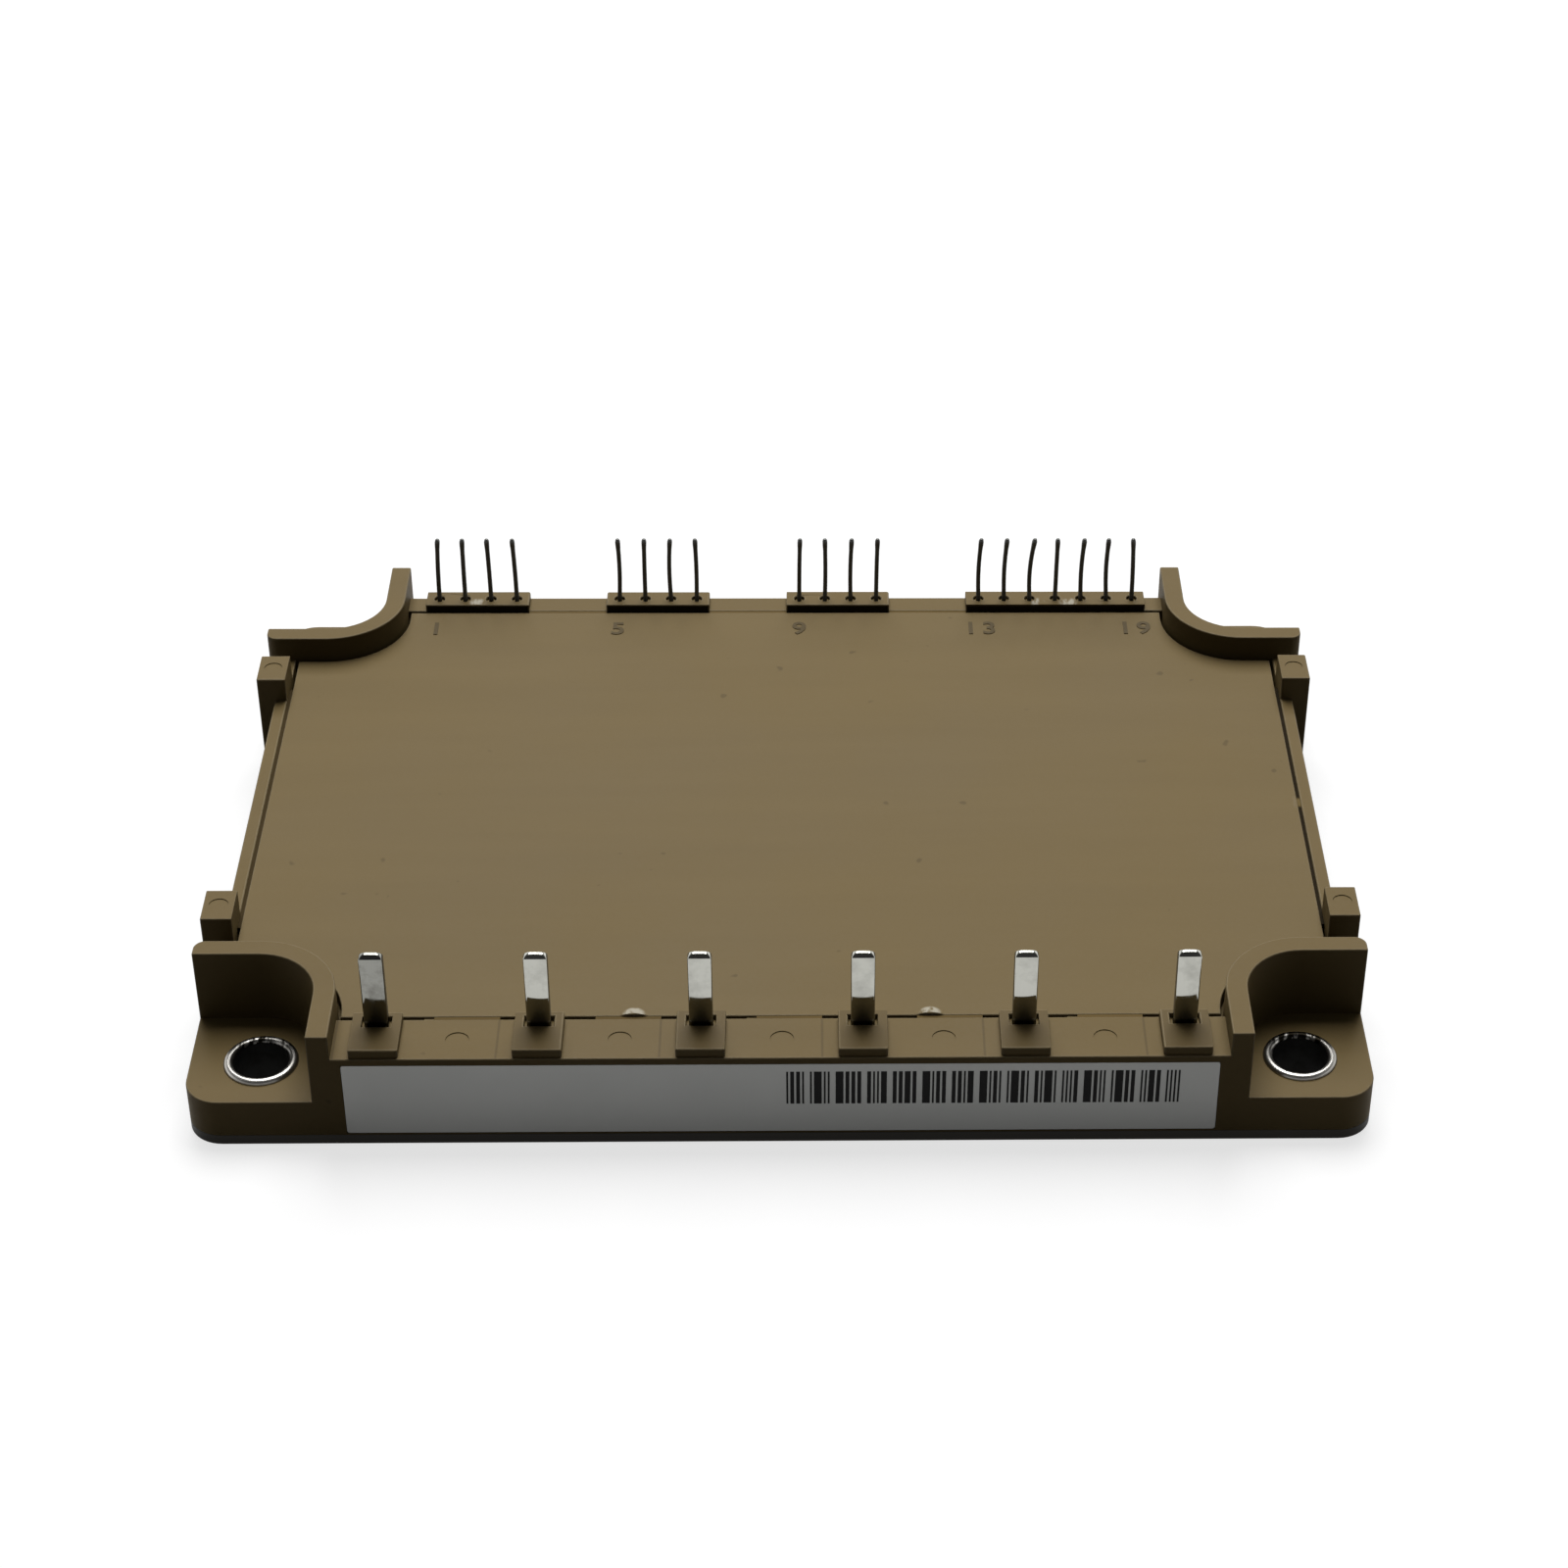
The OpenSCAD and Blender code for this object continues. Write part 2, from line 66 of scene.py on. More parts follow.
def box(node):
    """Lowest and highest corner of a node, as numpy arrays in metres."""
    low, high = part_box(node)
    return np.array(low), np.array(high)


def numbered(start):
    """The names of the nodes that begin with a word, in order."""
    return sorted(name for name in frame["nodes"] if name.startswith(start))


BLADES = numbered("main_terminal")
PINS = numbered("control_pin")
BUSHES = numbered("bush")
CASE_LOW = box("case")[0]
LID_LOW, LID_HIGH = box("lid")
LABEL_LOW, LABEL_HIGH = box("label")
PLATE_TOP = box("base_plate")[1][2]
BLADE_X = [float(sum(box(name))[0] / 2) for name in BLADES]
PIN_X = [float(sum(box(name))[0] / 2) for name in PINS]
BLADE_PITCH = BLADE_X[1] - BLADE_X[0]
PIN_PITCH = PIN_X[1] - PIN_X[0]

# Facts of the mouldings that the boxes don't tell
RIM_TOP = LID_LOW[2] + 1.4 * MM
PAD_TOP = RIM_TOP + 0.8 * MM
BLOCK_TOP = RIM_TOP + 0.7 * MM
WELL_FRONT = CASE_LOW[1] + 5.2 * MM
LID_GAP = 0.3 * MM
WELL_REAR = LID_HIGH[1] + LID_GAP
WELL_SIDE = LID_HIGH[0] + LID_GAP
CASE_REAR = WELL_REAR + 2.4 * MM
LUG_X = 12.45 * MM
RIM_MARK_Y = CASE_LOW[1] + 2.5 * MM
MARK_REACH = 1.1 * MM
POST_MARK = (48.65 * MM, 18.35 * MM)

# Sideways lean of each pin's tip and bow of its middle, in millimetres
PIN_LEANS = (0.2, 0.05, -0.1, -0.15, 0, 0.05, 0.05, -0.05, 0.1, 0, 0.1, 0.1,
             0.15, 0.15, 0.35, 0.05, 0.15, 0, -0.15)
PIN_BOWS = (0, 0, 0, 0, 0.1, 0, -0.1, 0.05, 0, 0.05, -0.05, 0,
            -0.1, -0.1, -0.15, 0, -0.1, -0.15, 0)

# Pins whose number stands on the lid, and the height of a digit as a share of the font's size
NUMBERED_PINS = (1, 5, 9, 13, 19)
DIGIT_SHARE = 0.72

# Rubbed places on the pin blocks: the pin before each, the share of the pitch from that pin, and
# the reach in millimetres
BLOCK_RUBS = ((1, 0.5, 0.9), (14, 0.3, 0.8), (15, 0.5, 1.0))

# A cover at which a patch has no gaps, for wear and painted shade alike
FULL_COVER = 1.2


# ---- sizes and colours that a user would change


def size(name, default, text):
    """A length property in metres."""
    return FloatProperty(name=name, description=text, default=default, unit="LENGTH", precision=5)


def colour(name, default, text):
    """A linear colour property."""
    return FloatVectorProperty(
        name=name, description=text, default=default, size=3, min=0, max=1, subtype="COLOR"
    )


def share(name, default, text):
    """A number from 0 to 1."""
    return FloatProperty(name=name, description=text, default=default, min=0, max=1, subtype="FACTOR")


class ModuleShape(PropertyGroup):
    """Small forms that the dressing adds."""

    edge_radius: size("Edge radius", 0.13 * MM, "Rounding on the moulded edges")
    edge_steps: IntProperty(
        name="Edge steps", description="Facets across a rounded edge", default=3, min=1, max=6
    )
    metal_radius: size("Metal edge radius", 0.08 * MM, "Rounding on the base plate's edges")
    blade_thick: size("Blade thickness", 0.8 * MM, "Thickness of the blades")
    blade_corner: size("Blade corner radius", 0.55 * MM, "Radius on a blade's two top corners")
    blade_tip: size("Blade tip", 0.34 * MM, "Height over which a blade's tip is bevelled")
    blade_edge: size("Blade edge radius", 0.1 * MM, "Rounding on a blade's long edges")
    pin_thick: size("Pin thickness", 0.5 * MM, "Thickness of the pins")
    pin_edge: size("Pin edge radius", 0.12 * MM, "Rounding on a pin's long edges")
    pin_head: size("Pin head", 0.03 * MM, "How far the head of a pin stands out on each side")
    bush_bore: size("Bush bore", 4.7 * MM, "Bore of the bushes")
    bush_wall: size("Bush wall", 0.45 * MM, "Wall of the bushes below the rolled rim")
    rim_radius: size("Rolled rim radius", 0.4 * MM, "Radius of a bush's rolled rim")
    film_thick: size("Film thickness", 0.08 * MM, "Thickness of the label film")
    film_corner: size("Film corner radius", 0.25 * MM, "Radius on the label's corners")
    ink_thick: size("Ink thickness", 0.01 * MM, "Thickness of the printed bars")
    seam_reach: size("Seam reach", 2.75 * MM, "Half the length of the adhesive behind each bay")
    seam_overlap: size("Seam overlap", 0.02 * MM, "How far the adhesive enters its neighbours")
    seam_drop: size("Seam drop", 0.06 * MM, "Depth of the adhesive below the lid's face")
    side_drop: size("Side seam drop", 0.16 * MM, "Its depth at the two sides")
    digit_height: size("Digit height", 2.1 * MM, "Height of the raised pin numbers")
    digit_weight: size("Digit weight", 0.05 * MM, "How much a number's strokes are thickened")
    digit_rise: size("Digit rise", 0.07 * MM, "How far the pin numbers stand off the lid")


class ModuleFinish(PropertyGroup):
    """Colours of the finishes."""

    frame: colour("Frame", (0.193, 0.137, 0.055), "Olive tan of the moulded frame")
    lid: colour("Lid", (0.207, 0.15, 0.065), "Olive tan of the lid")
    whitened: colour("Whitened", (0.5, 0.46, 0.36), "Plastic whitened by rubbing")
    plate: colour("Base plate", (0.3, 0.29, 0.27), "Dull nickel of the base plate")
    # Painted shade for the base plate's sides, which stand in the module's shadow at the floor
    stained: colour("Stained plate", (0.035, 0.033, 0.03), "Darkened edge of the base plate")
    bush: colour("Bushes", (0.6, 0.58, 0.54), "Bright plating of the bushes")
    blade: colour("Blades", (0.68, 0.68, 0.62), "Tin plating of the blades")
    pin: colour("Pins", (0.15, 0.152, 0.145), "Tarnished plating of the pins")
    film: colour("Label", (0.43, 0.435, 0.42), "Silvery label film")
    ink: colour("Ink", (0.02, 0.02, 0.02), "Printed bars")
    tarnish: colour("Tarnish", (0.09, 0.08, 0.065), "Tarnish on plated metal")
    adhesive: colour("Adhesive", (0.155, 0.105, 0.04), "Adhesive in the gap round the lid")


class ModuleLight(PropertyGroup):
    """Strength of the lamps."""

    key: FloatProperty(name="Key lamp", description="Power of the soft lamp", default=8.35, unit="POWER")
    fill: share("Fill", 0.08, "Even light from all round, where 1 is white")
    ceiling: share("Ceiling", 0.12, "Brightness overhead that gloss shows, where 1 is white")


# ---- surfaces


def place(name, mesh):
    """Links a mesh as a piece that rides on the module and takes its finish from a slot."""
    piece = bpy.data.objects.new(name, mesh)
    bpy.context.scene.collection.objects.link(piece)
    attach(piece, "root")
    return piece


def mesh_piece(name, points, faces, slot, material):
    """A closed piece from an array of points and lists of point numbers, facing outwards."""
    mesh = bpy.data.meshes.new(name)
    mesh.from_pydata(points.tolist(), [], faces)
    work = bmesh.new()
    work.from_mesh(mesh)
    inside_out = work.calc_volume(signed=True) < 0
    work.free()
    if inside_out:
        mesh.flip_normals()
    mesh.materials.append(material)
    return place(name, mesh)


def shade_smooth(piece, angle):
    """Smooth shading with creases kept where faces meet at more than the angle in degrees."""
    piece.data.shade_smooth()
    piece.data.set_sharp_from_angle(angle=radians(angle))


def grid_faces(rows, columns, close_rows):
    """Quads of a grid of points whose columns close on themselves, and rows too if asked."""
    last = rows if close_rows else rows - 1
    row, column = np.meshgrid(np.arange(last), np.arange(columns), indexing="ij")
    right = (column + 1) % columns
    up = (row + 1) % rows
    here, above = row * columns, up * columns
    corners = [here + column, here + right, above + right, above + column]
    return np.stack(corners, -1).reshape(-1, 4).tolist()


def lofted(centres, along, sections):
    """A closed bar through a row of sections.

    Point = centre + X axis * first section coordinate + along * second section coordinate.
    The first two have one row for each section, and a section has one row for each corner.
    """
    first = np.array([1.0, 0, 0]) * sections[:, :, :1]
    second = along[:, None] * sections[:, :, 1:]
    points = (centres[:, None] + first + second).reshape(-1, 3)
    rows, corners = sections.shape[:2]
    faces = grid_faces(rows, corners, False)
    faces.append(list(range(corners))[::-1])
    faces.append([(rows - 1) * corners + i for i in range(corners)])
    return points, faces


def boxes(low, high):
    """Separate flat boxes, one for each pair of lowest and highest corners.

    Each of a box's eight points takes every coordinate from either its low or its high corner.
    """
    ring = [[0, 0, 0], [1, 0, 0], [1, 0, 1], [0, 0, 1]]
    pick = np.array(ring + [[x, 1, z] for x, _, z in ring])
    points = np.where(pick[None] == 0, low[:, None], high[:, None]).reshape(-1, 3)
    sides = np.array([[0, 1, 2, 3], [7, 6, 5, 4], [0, 4, 5, 1],
                      [1, 5, 6, 2], [2, 6, 7, 3], [3, 7, 4, 0]])
    faces = (sides[None] + 8 * np.arange(len(low))[:, None, None]).reshape(-1, 4)
    return points, faces.tolist()


def rounded_rectangles(half_x, half_y, radius, steps=3):
    """Rectangles with rounded corners, one for each pair of half sizes.

    Corner points = sign * (half size - radius) + radius * (cosine, sine) of the angle, with
    the angle running once round in four quarter turns.
    """
    turn = np.concatenate([np.linspace(k * pi / 2, (k + 1) * pi / 2, steps + 1) for k in range(4)])
    corner = np.repeat([[1, 1], [-1, 1], [-1, -1], [1, -1]], steps + 1, axis=0)
    half = np.stack([half_x, half_y], -1)[:, None]
    reach = np.minimum(radius, half.min(-1, keepdims=True))
    return corner * (half - reach) + reach * np.stack([np.cos(turn), np.sin(turn)], -1)


def bent_path(foot_end, upright_y, low, bend, top_heights):
    """Centre line of a bent lead in the plane of Y and Z, from its foot to its tip.

    A straight foot, then a quarter circle: centre + radius * (cosine, sine), and then straight
    up through the given heights. Returns each point and the direction across the thickness.
    """
    side = np.sign(foot_end - upright_y)
    turn = np.linspace(-pi / 2, -pi, 7)
    arc_y = upright_y + side * bend * (1 + np.cos(turn))
    arc_z = low + bend * (1 + np.sin(turn))
    y = np.concatenate([[foot_end], arc_y, np.full(len(top_heights), upright_y)])
    z = np.concatenate([[low], arc_z, top_heights])
    angle = np.concatenate([[-pi / 2], turn, np.full(len(top_heights), -pi)])
    centres = np.stack([np.zeros_like(y), y, z], -1)
    outwards = np.stack([np.zeros_like(y), side * np.cos(angle), np.sin(angle)], -1)
    return centres, outwards


# ---- finishes


def add(tree, kind, inputs=None, **settings):
    """A shader node with its settings, whose inputs are linked from a socket or set to a value."""
    made = tree.nodes.new("ShaderNode" + kind)
    for name, value in settings.items():
        setattr(made, name, value)
    for name, value in (inputs or {}).items():
        if isinstance(value, bpy.types.NodeSocket):
            tree.links.new(value, made.inputs[name])
        else:
            made.inputs[name].default_value = value
    return made


def calc(tree, operation, *values):
    """The result of a Math node."""
    return add(tree, "Math", dict(enumerate(values)), operation=operation).outputs[0]


def times(tree, value, *others):
    """The product of several values."""
    for other in others:
        value = calc(tree, "MULTIPLY", value, other)
    return value


def ramp(tree, value, low, high, new_low=0.0, new_high=1.0):
    """A value stretched from one range to another and held at its ends."""
    inputs = {"Value": value, "From Min": low, "From Max": high, "To Min": new_low, "To Max": new_high}
    return add(tree, "MapRange", inputs).outputs[0]


def blend(tree, factor, first, second, mode="MIX"):
    """Two colours mixed by a factor."""
    mixed = add(tree, "Mix", {0: factor, 6: first, 7: second}, data_type="RGBA", blend_type=mode)
    return mixed.outputs[2]


def object_point(tree):
    """The point in the module's own frame."""
    return add(tree, "TexCoord").outputs["Object"]


def noise(tree, point, scale, detail=2.0, roughness=0.5):
    """Noise at a scale per metre, which lies mostly between 0.3 and 0.7."""
    inputs = {"Vector": point, "Scale": scale, "Detail": detail, "Roughness": roughness}
    return add(tree, "TexNoise", inputs).outputs["Fac"]


def stretched(tree, point, scale):
    """The point with its three coordinates scaled apart, which draws a pattern out."""
    return add(tree, "Mapping", {"Vector": point, "Scale": scale}).outputs[0]


def new_group(name, inputs, outputs):
    """A shader node group, where an input is a colour, a vector or a number by its count of values."""
    group = bpy.data.node_groups.new(name, "ShaderNodeTree")
    for socket, default in inputs.items():
        kind = {1: "Float", 3: "Vector", 4: "Color"}[np.size(default)]
        made = group.interface.new_socket(name=socket, in_out="INPUT", socket_type="NodeSocket" + kind)
        made.default_value = default
    for socket, kind in outputs.items():
        group.interface.new_socket(name=socket, in_out="OUTPUT", socket_type="NodeSocket" + kind)
    return group, group.nodes.new("NodeGroupInput").outputs, group.nodes.new("NodeGroupOutput").inputs


SURFACE_OUTPUTS = {"Color": "Color", "Roughness": "Float", "Height": "Float"}


def shaded(group, base, swing, amount):
    """A colour made lighter and darker by an amount, where the swing runs from -1 to 1."""
    tone = calc(group, "ADD", times(group, swing, amount), 1.0)
    grey = add(group, "CombineColor", {0: tone, 1: tone, 2: tone}).outputs[0]
    return blend(group, 1.0, base, grey, "MULTIPLY")


def moulded_surface():
    """Moulded plastic: clouded tone, flow streaks, dark specks and a fine sparked grain."""
    group, given, result = new_group(
        "moulded surface",
        {"Color": (1, 1, 1, 1), "Tone": 0.05, "Specks": 0.3, "Grain": 3500.0, "Gloss": 0.5},
        SURFACE_OUTPUTS,
    )
    point = object_point(group)
    cloud = noise(group, point, 45.0, 3.0)
    flow = noise(group, stretched(group, point, (30, 260, 260)), 1.0, 3.0)
    mottle = calc(group, "ADD", times(group, cloud, 0.6), times(group, flow, 0.4))
    toned = shaded(group, given["Color"], ramp(group, mottle, 0.35, 0.65, -1.0, 1.0), given["Tone"])
    speck = ramp(group, noise(group, point, 600.0, 1.0), 0.78, 0.82)
    spotted = blend(group, times(group, speck, given["Specks"]), toned, (0.03, 0.022, 0.012, 1))
    grain = noise(group, point, given["Grain"], 3.0, 0.6)
    clouded = calc(group, "ADD", given["Gloss"], ramp(group, cloud, 0.3, 0.7, -0.05, 0.05))
    rough = calc(group, "ADD", clouded, ramp(group, grain, 0.3, 0.7, -0.04, 0.04))
    group.links.new(spotted, result["Color"])
    group.links.new(rough, result["Roughness"])
    group.links.new(grain, result["Height"])
    return group


def plated_surface():
    """Plated metal: clouded plating, blotches of tarnish and fine drawn scratches."""
    group, given, result = new_group(
        "plated surface",
        {"Color": (1, 1, 1, 1), "Tarnish": (0.1, 0.1, 0.1, 1), "Amount": 0.3, "Blotch": 500.0,
         "Gloss": 0.25, "Drawn": 0.08},
        SURFACE_OUTPUTS,
    )
    point = object_point(group)
    blotch = ramp(group, noise(group, point, given["Blotch"], 4.0, 0.6), 0.45, 0.75)
    covered = times(group, blotch, given["Amount"])
    drawn = noise(group, stretched(group, point, (9000, 9000, 500)), 1.0, 2.0)
    swing = ramp(group, drawn, 0.3, 0.7, -1.0, 1.0)
    plating = shaded(group, given["Color"], swing, given["Drawn"])
    rough = calc(group, "ADD", given["Gloss"], times(group, covered, 0.25))
    scratched = calc(group, "ADD", rough, times(group, swing, given["Drawn"], 0.4))
    group.links.new(blend(group, covered, plating, given["Tarnish"]), result["Color"])
    group.links.new(scratched, result["Roughness"])
    group.links.new(times(group, drawn, given["Drawn"]), result["Height"])
    return group


def rub_mark():
    """Mask of a patch, used both for rubbed wear and for painted shade: streaks within an oval round a
    point.
    """
    group, given, result = new_group(
        "rub mark",
        {"Place": (0, 0, 0), "Reach": (0.001, 0.001, 0.001), "Cover": 0.5},
        {"Mask": "Float"},
    )
    point = object_point(group)
    offset = add(group, "VectorMath", {0: point, 1: given["Place"]}, operation="SUBTRACT")
    oval = add(group, "VectorMath", {0: offset.outputs[0], 1: given["Reach"]}, operation="DIVIDE")
    away = add(group, "VectorMath", {0: oval.outputs[0]}, operation="LENGTH").outputs["Value"]
    near = ramp(group, away, 0.55, 1.0, 1.0, 0.0)
    streaks = noise(group, stretched(group, point, (2200, 700, 1500)), 1.0, 3.0)
    level = calc(group, "SUBTRACT", 1.0, given["Cover"])
    ragged = ramp(group, calc(group, "SUBTRACT", streaks, level), -0.05, 0.12)
    group.links.new(times(group, near, ragged), result["Mask"])
    return group


def opaque(colour_value):
    """A colour with full alpha."""
    return (*colour_value, 1.0)


def dimmed(colour_value, part):
    """A colour that keeps only a part of its brightness."""
    return [part * value for value in colour_value]


def use_group(tree, build, inputs):
    """The node group that a function builds, built once, placed in a material with its own values."""
    made = tree.nodes.new("ShaderNodeGroup")
    made.node_tree = bpy.data.node_groups.get(build.__name__.replace("_", " ")) or build()
    for name, value in inputs.items():
        made.inputs[name].default_value = value
    return made.outputs


def finished(name, even, build, inputs, depth):
    """A material whose colour, roughness and height come from a shared group.

    Even values are set on the shader's own sockets. Light that neighbouring faces hand on is
    held back, which keeps the recesses deep in tone.
    """
    material = bpy.data.materials.new(name)
    material.use_nodes = True
    tree = material.node_tree
    shader = tree.nodes["Principled BSDF"].inputs
    for socket, value in even.items():
        shader[socket].default_value = value
    pattern = use_group(tree, build, inputs)
    bump = add(tree, "Bump", {"Height": pattern["Height"], "Distance": depth, "Strength": 1.0})
    path = add(tree, "LightPath").outputs
    handed_on = times(tree, path["Is Diffuse Ray"], 0.8)
    mirrored = times(tree, path["Is Glossy Ray"], 0.6)
    held_back = calc(tree, "MAXIMUM", handed_on, mirrored)
    tree.links.new(blend(tree, held_back, pattern["Color"], (0, 0, 0, 1)), shader["Base Color"])
    tree.links.new(pattern["Roughness"], shader["Roughness"])
    tree.links.new(bump.outputs[0], shader["Normal"])
    return material


def moulded(name, base, even=None, **values):
    """A moulded finish."""
    even = {"Specular IOR Level": 0.12, **(even or {})}
    return finished(name, even, moulded_surface, {"Color": opaque(base), **values}, 0.004 * MM)


def plated(name, base, tarnish, even=None, **values):
    """A plated finish."""
    inputs = {"Color": opaque(base), "Tarnish": opaque(tarnish), **values}
    return finished(name, {"Metallic": 1.0, **(even or {})}, plated_surface, inputs, 0.01 * MM)


def paint(material, mask, new_colour):
    """Lays a colour over what already feeds a finish's colour, where a mask says so."""
    tree = material.node_tree
    target = tree.nodes["Principled BSDF"].inputs["Base Color"]
    below = target.links[0].from_socket
    tree.links.new(blend(tree, mask, below, opaque(new_colour)), target)


def rub(material, new_colour, place_at, reach, cover):
    """Adds a patch of colour to a finish, within a reach in millimetres along each axis; it serves both
    for rubbed wear and for painted shade.
    """
    inputs = {"Place": place_at, "Reach": [MM * value for value in reach], "Cover": cover}
    paint(material, use_group(material.node_tree, rub_mark, inputs)["Mask"], new_colour)


def split_point(tree):
    """The three coordinates of the point in the module's own frame."""
    return add(tree, "SeparateXYZ", {0: object_point(tree)}).outputs


def rim_marks(material):
    """Adds the faint lines that the mould's inserts leave across the front rim, and paints the blades'
    shadows on its pads.
    """
    tree = material.node_tree
    x, y, z = split_point(tree)
    from_line = calc(tree, "ADD", x, 3.4 * MM - BLADE_X[0])
    turn = calc(tree, "WRAP", from_line, BLADE_PITCH / 2, -BLADE_PITCH / 2)
    line = ramp(tree, calc(tree, "ABSOLUTE", turn), 0.05 * MM, 0.14 * MM, 1.0, 0.0)
    on_rim = calc(tree, "LESS_THAN", y, WELL_FRONT)
    level = calc(tree, "COMPARE", z, RIM_TOP, 0.05 * MM)
    on_pad = calc(tree, "COMPARE", z, PAD_TOP, 0.05 * MM)
    by_blade = calc(tree, "LESS_THAN", calc(tree, "ABSOLUTE", x), BLADE_X[-1] + 2.5 * MM)
    lined = times(tree, line, on_rim, level, 0.35)
    # Painted shadow: the pad tops beside the blades are darkened for the shadows that the blades cast on
    # them.
    shadow_on_pads = times(tree, on_pad, on_rim, by_blade, 0.25)
    paint(material, calc(tree, "MAXIMUM", lined, shadow_on_pads), (0.05, 0.035, 0.016))


def block_grime(material):
    """Paints shade along the front faces of the pin blocks, down to the gap at the lid."""
    tree = material.node_tree
    x, y, z = split_point(tree)
    behind = calc(tree, "COMPARE", y, WELL_REAR, 0.1 * MM)
    below_top = ramp(tree, z, BLOCK_TOP - 0.22 * MM, BLOCK_TOP - 0.08 * MM, 1.0, 0.0)
    above_foot = ramp(tree, z, RIM_TOP - 0.5 * MM, RIM_TOP - 0.3 * MM)
    along = calc(tree, "LESS_THAN", calc(tree, "ABSOLUTE", x), PIN_X[-1] + 2 * MM)
    # Painted shade: the front faces of the pin blocks are darkened towards near black.
    paint(material, times(tree, behind, along, below_top, above_foot, 0.85), (0.012, 0.008, 0.004))


def edge_stain(material, new_colour):
    """Paints shade on a plate's sides, above its underside."""
    tree = material.node_tree
    paint(material, ramp(tree, split_point(tree)["Z"], 0.02 * MM, 0.12 * MM), new_colour)


# ---- rounded copies of the moulded and stamped solids


def read(items, name, kind=float, width=1):
    """One property of every item as an array, with rows where an item has several values."""
    values = np.empty(len(items) * width, kind)
    items.foreach_get(name, values)
    return values.reshape(-1, width) if width > 1 else values


def merged_copy(node, wanted):
    """A CAD node's mesh with whole flat faces, and a weight on each wanted convex crease."""
    work = bmesh.new()
    work.from_mesh(frame["nodes"][node].data)
    bmesh.ops.remove_doubles(work, verts=work.verts, dist=0.002 * MM)
    bmesh.ops.dissolve_limit(work, angle_limit=radians(0.5), verts=work.verts, edges=work.edges)
    work.normal_update()
    layer = work.edges.layers.float.new("bevel_weight_edge")
    for edge in work.edges:
        crease = edge.is_manifold and edge.is_convex and edge.calc_face_angle(0) > radians(35)
        if crease and wanted((edge.verts[0].co + edge.verts[1].co) / 2):
            edge[layer] = 1
    mesh = bpy.data.meshes.new(node + "_shell")
    work.to_mesh(mesh)
    work.free()
    return mesh


def even_shading(mesh):
    """Keeps flat faces flat and lets the rounded edges run smoothly from one to the next.

    A corner's normal is the unit sum of area * normal over the faces that share its point and
    lie within an angle of its own face: main faces look at main faces, and rounded edges at the
    main faces that they touch or, where they touch none, at each other.
    """
    corners = len(mesh.loops)
    faces = mesh.polygons
    point = read(mesh.loops, "vertex_index", np.int64)
    face = np.repeat(np.arange(len(faces)), read(faces, "loop_total", np.int64))
    own = read(faces, "normal", width=3)[face]
    weight = read(faces, "area")[face] + 1e-15
    main = read(faces, "material_index", np.int64)[face] == 0
    sharing = np.bincount(point)
    start = np.cumsum(sharing) - sharing
    here = sharing[point]
    mine = np.repeat(np.arange(corners), here)
    step = np.arange(len(mine)) - np.repeat(np.cumsum(here) - here, here)
    other = np.argsort(point, kind="stable")[start[point[mine]] + step]
    match = (own[mine] * own[other]).sum(1)

    def summed(keep, values):
        """The unit weighted sum of the kept neighbours' values, and whether there were any."""
        share_of = (weight[other] * keep)[:, None] * values[other]
        total_of = np.stack([np.bincount(mine, share_of[:, k], corners) for k in range(3)], -1)
        length = np.linalg.norm(total_of, axis=1, keepdims=True)
        return total_of / np.maximum(length, 1e-30), length[:, 0] > 0

    flat, _ = summed(main[other] & (match > cos(radians(25))), own)
    touching, touches = summed(main[other] & ~main[mine] & (match > cos(radians(50))), flat)
    among, _ = summed(~main[other] & ~main[mine] & (match > cos(radians(50))), own)
    rounded = np.where(touches[:, None], touching, among)
    mesh.shade_smooth()
    mesh.normals_split_custom_set(np.where(main[:, None], flat, rounded).tolist())


def rounded_shell(node, radius, steps, wanted, materials):
    """A copy of a CAD node whose picked edges are rounded, standing for that node.

    The first material is for the faces and the second for the rounded edges.
    """
    mesh = merged_copy(node, wanted)
    for material in materials:
        mesh.materials.append(material)
    piece = place(node + "_shell", mesh)
    bevel = piece.modifiers.new("Rounded edges", "BEVEL")
    bevel.limit_method = "WEIGHT"
    bevel.width = radius
    bevel.segments = steps
    bevel.use_clamp_overlap = False
    bevel.material = 1
    bevelled = piece.evaluated_get(bpy.context.evaluated_depsgraph_get())
    piece.data = bpy.data.meshes.new_from_object(bevelled)
    piece.modifiers.clear()
    corners = piece.data.vertices
    corners.foreach_set("co", np.clip(read(corners, "co", width=3), *box(node)).ravel())
    even_shading(piece.data)
    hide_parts(node)
    return piece


def in_well(point):
    """True in the well under the lid, which stays sharp."""
    margin = 0.1 * MM
    deep = PLATE_TOP < point.z < RIM_TOP - margin
    wide = abs(point.x) < WELL_SIDE + margin
    return deep and wide and WELL_FRONT - margin < point.y < WELL_REAR + margin


def in_seat(point):
    """True inside the seats of blades and pins, which stay sharp."""
    by_blade = min(abs(point.x - x) for x in BLADE_X) < 1.5 * MM
    front = by_blade and WELL_FRONT - 2 * MM < point.y < WELL_FRONT - 0.3 * MM
    by_pin = min(abs(point.x - x) for x in PIN_X) < 0.7 * MM
    rear = by_pin and WELL_REAR + 0.1 * MM < point.y < CASE_REAR - 0.1 * MM
    return (front and point.z < PAD_TOP - 0.1 * MM) or (rear and point.z < BLOCK_TOP - 0.1 * MM)


def in_mark(point):
    """True on the rims of the shallow ejector marks."""
    on_rim = abs(point.z - RIM_TOP) < 0.1 * MM and abs(point.y - RIM_MARK_Y) < MARK_REACH
    to_post = np.hypot(abs(point.x) - POST_MARK[0], abs(point.y) - POST_MARK[1])
    return (on_rim and abs(point.x) < BLADE_X[-1]) or (to_post < MARK_REACH and point.z > PAD_TOP)


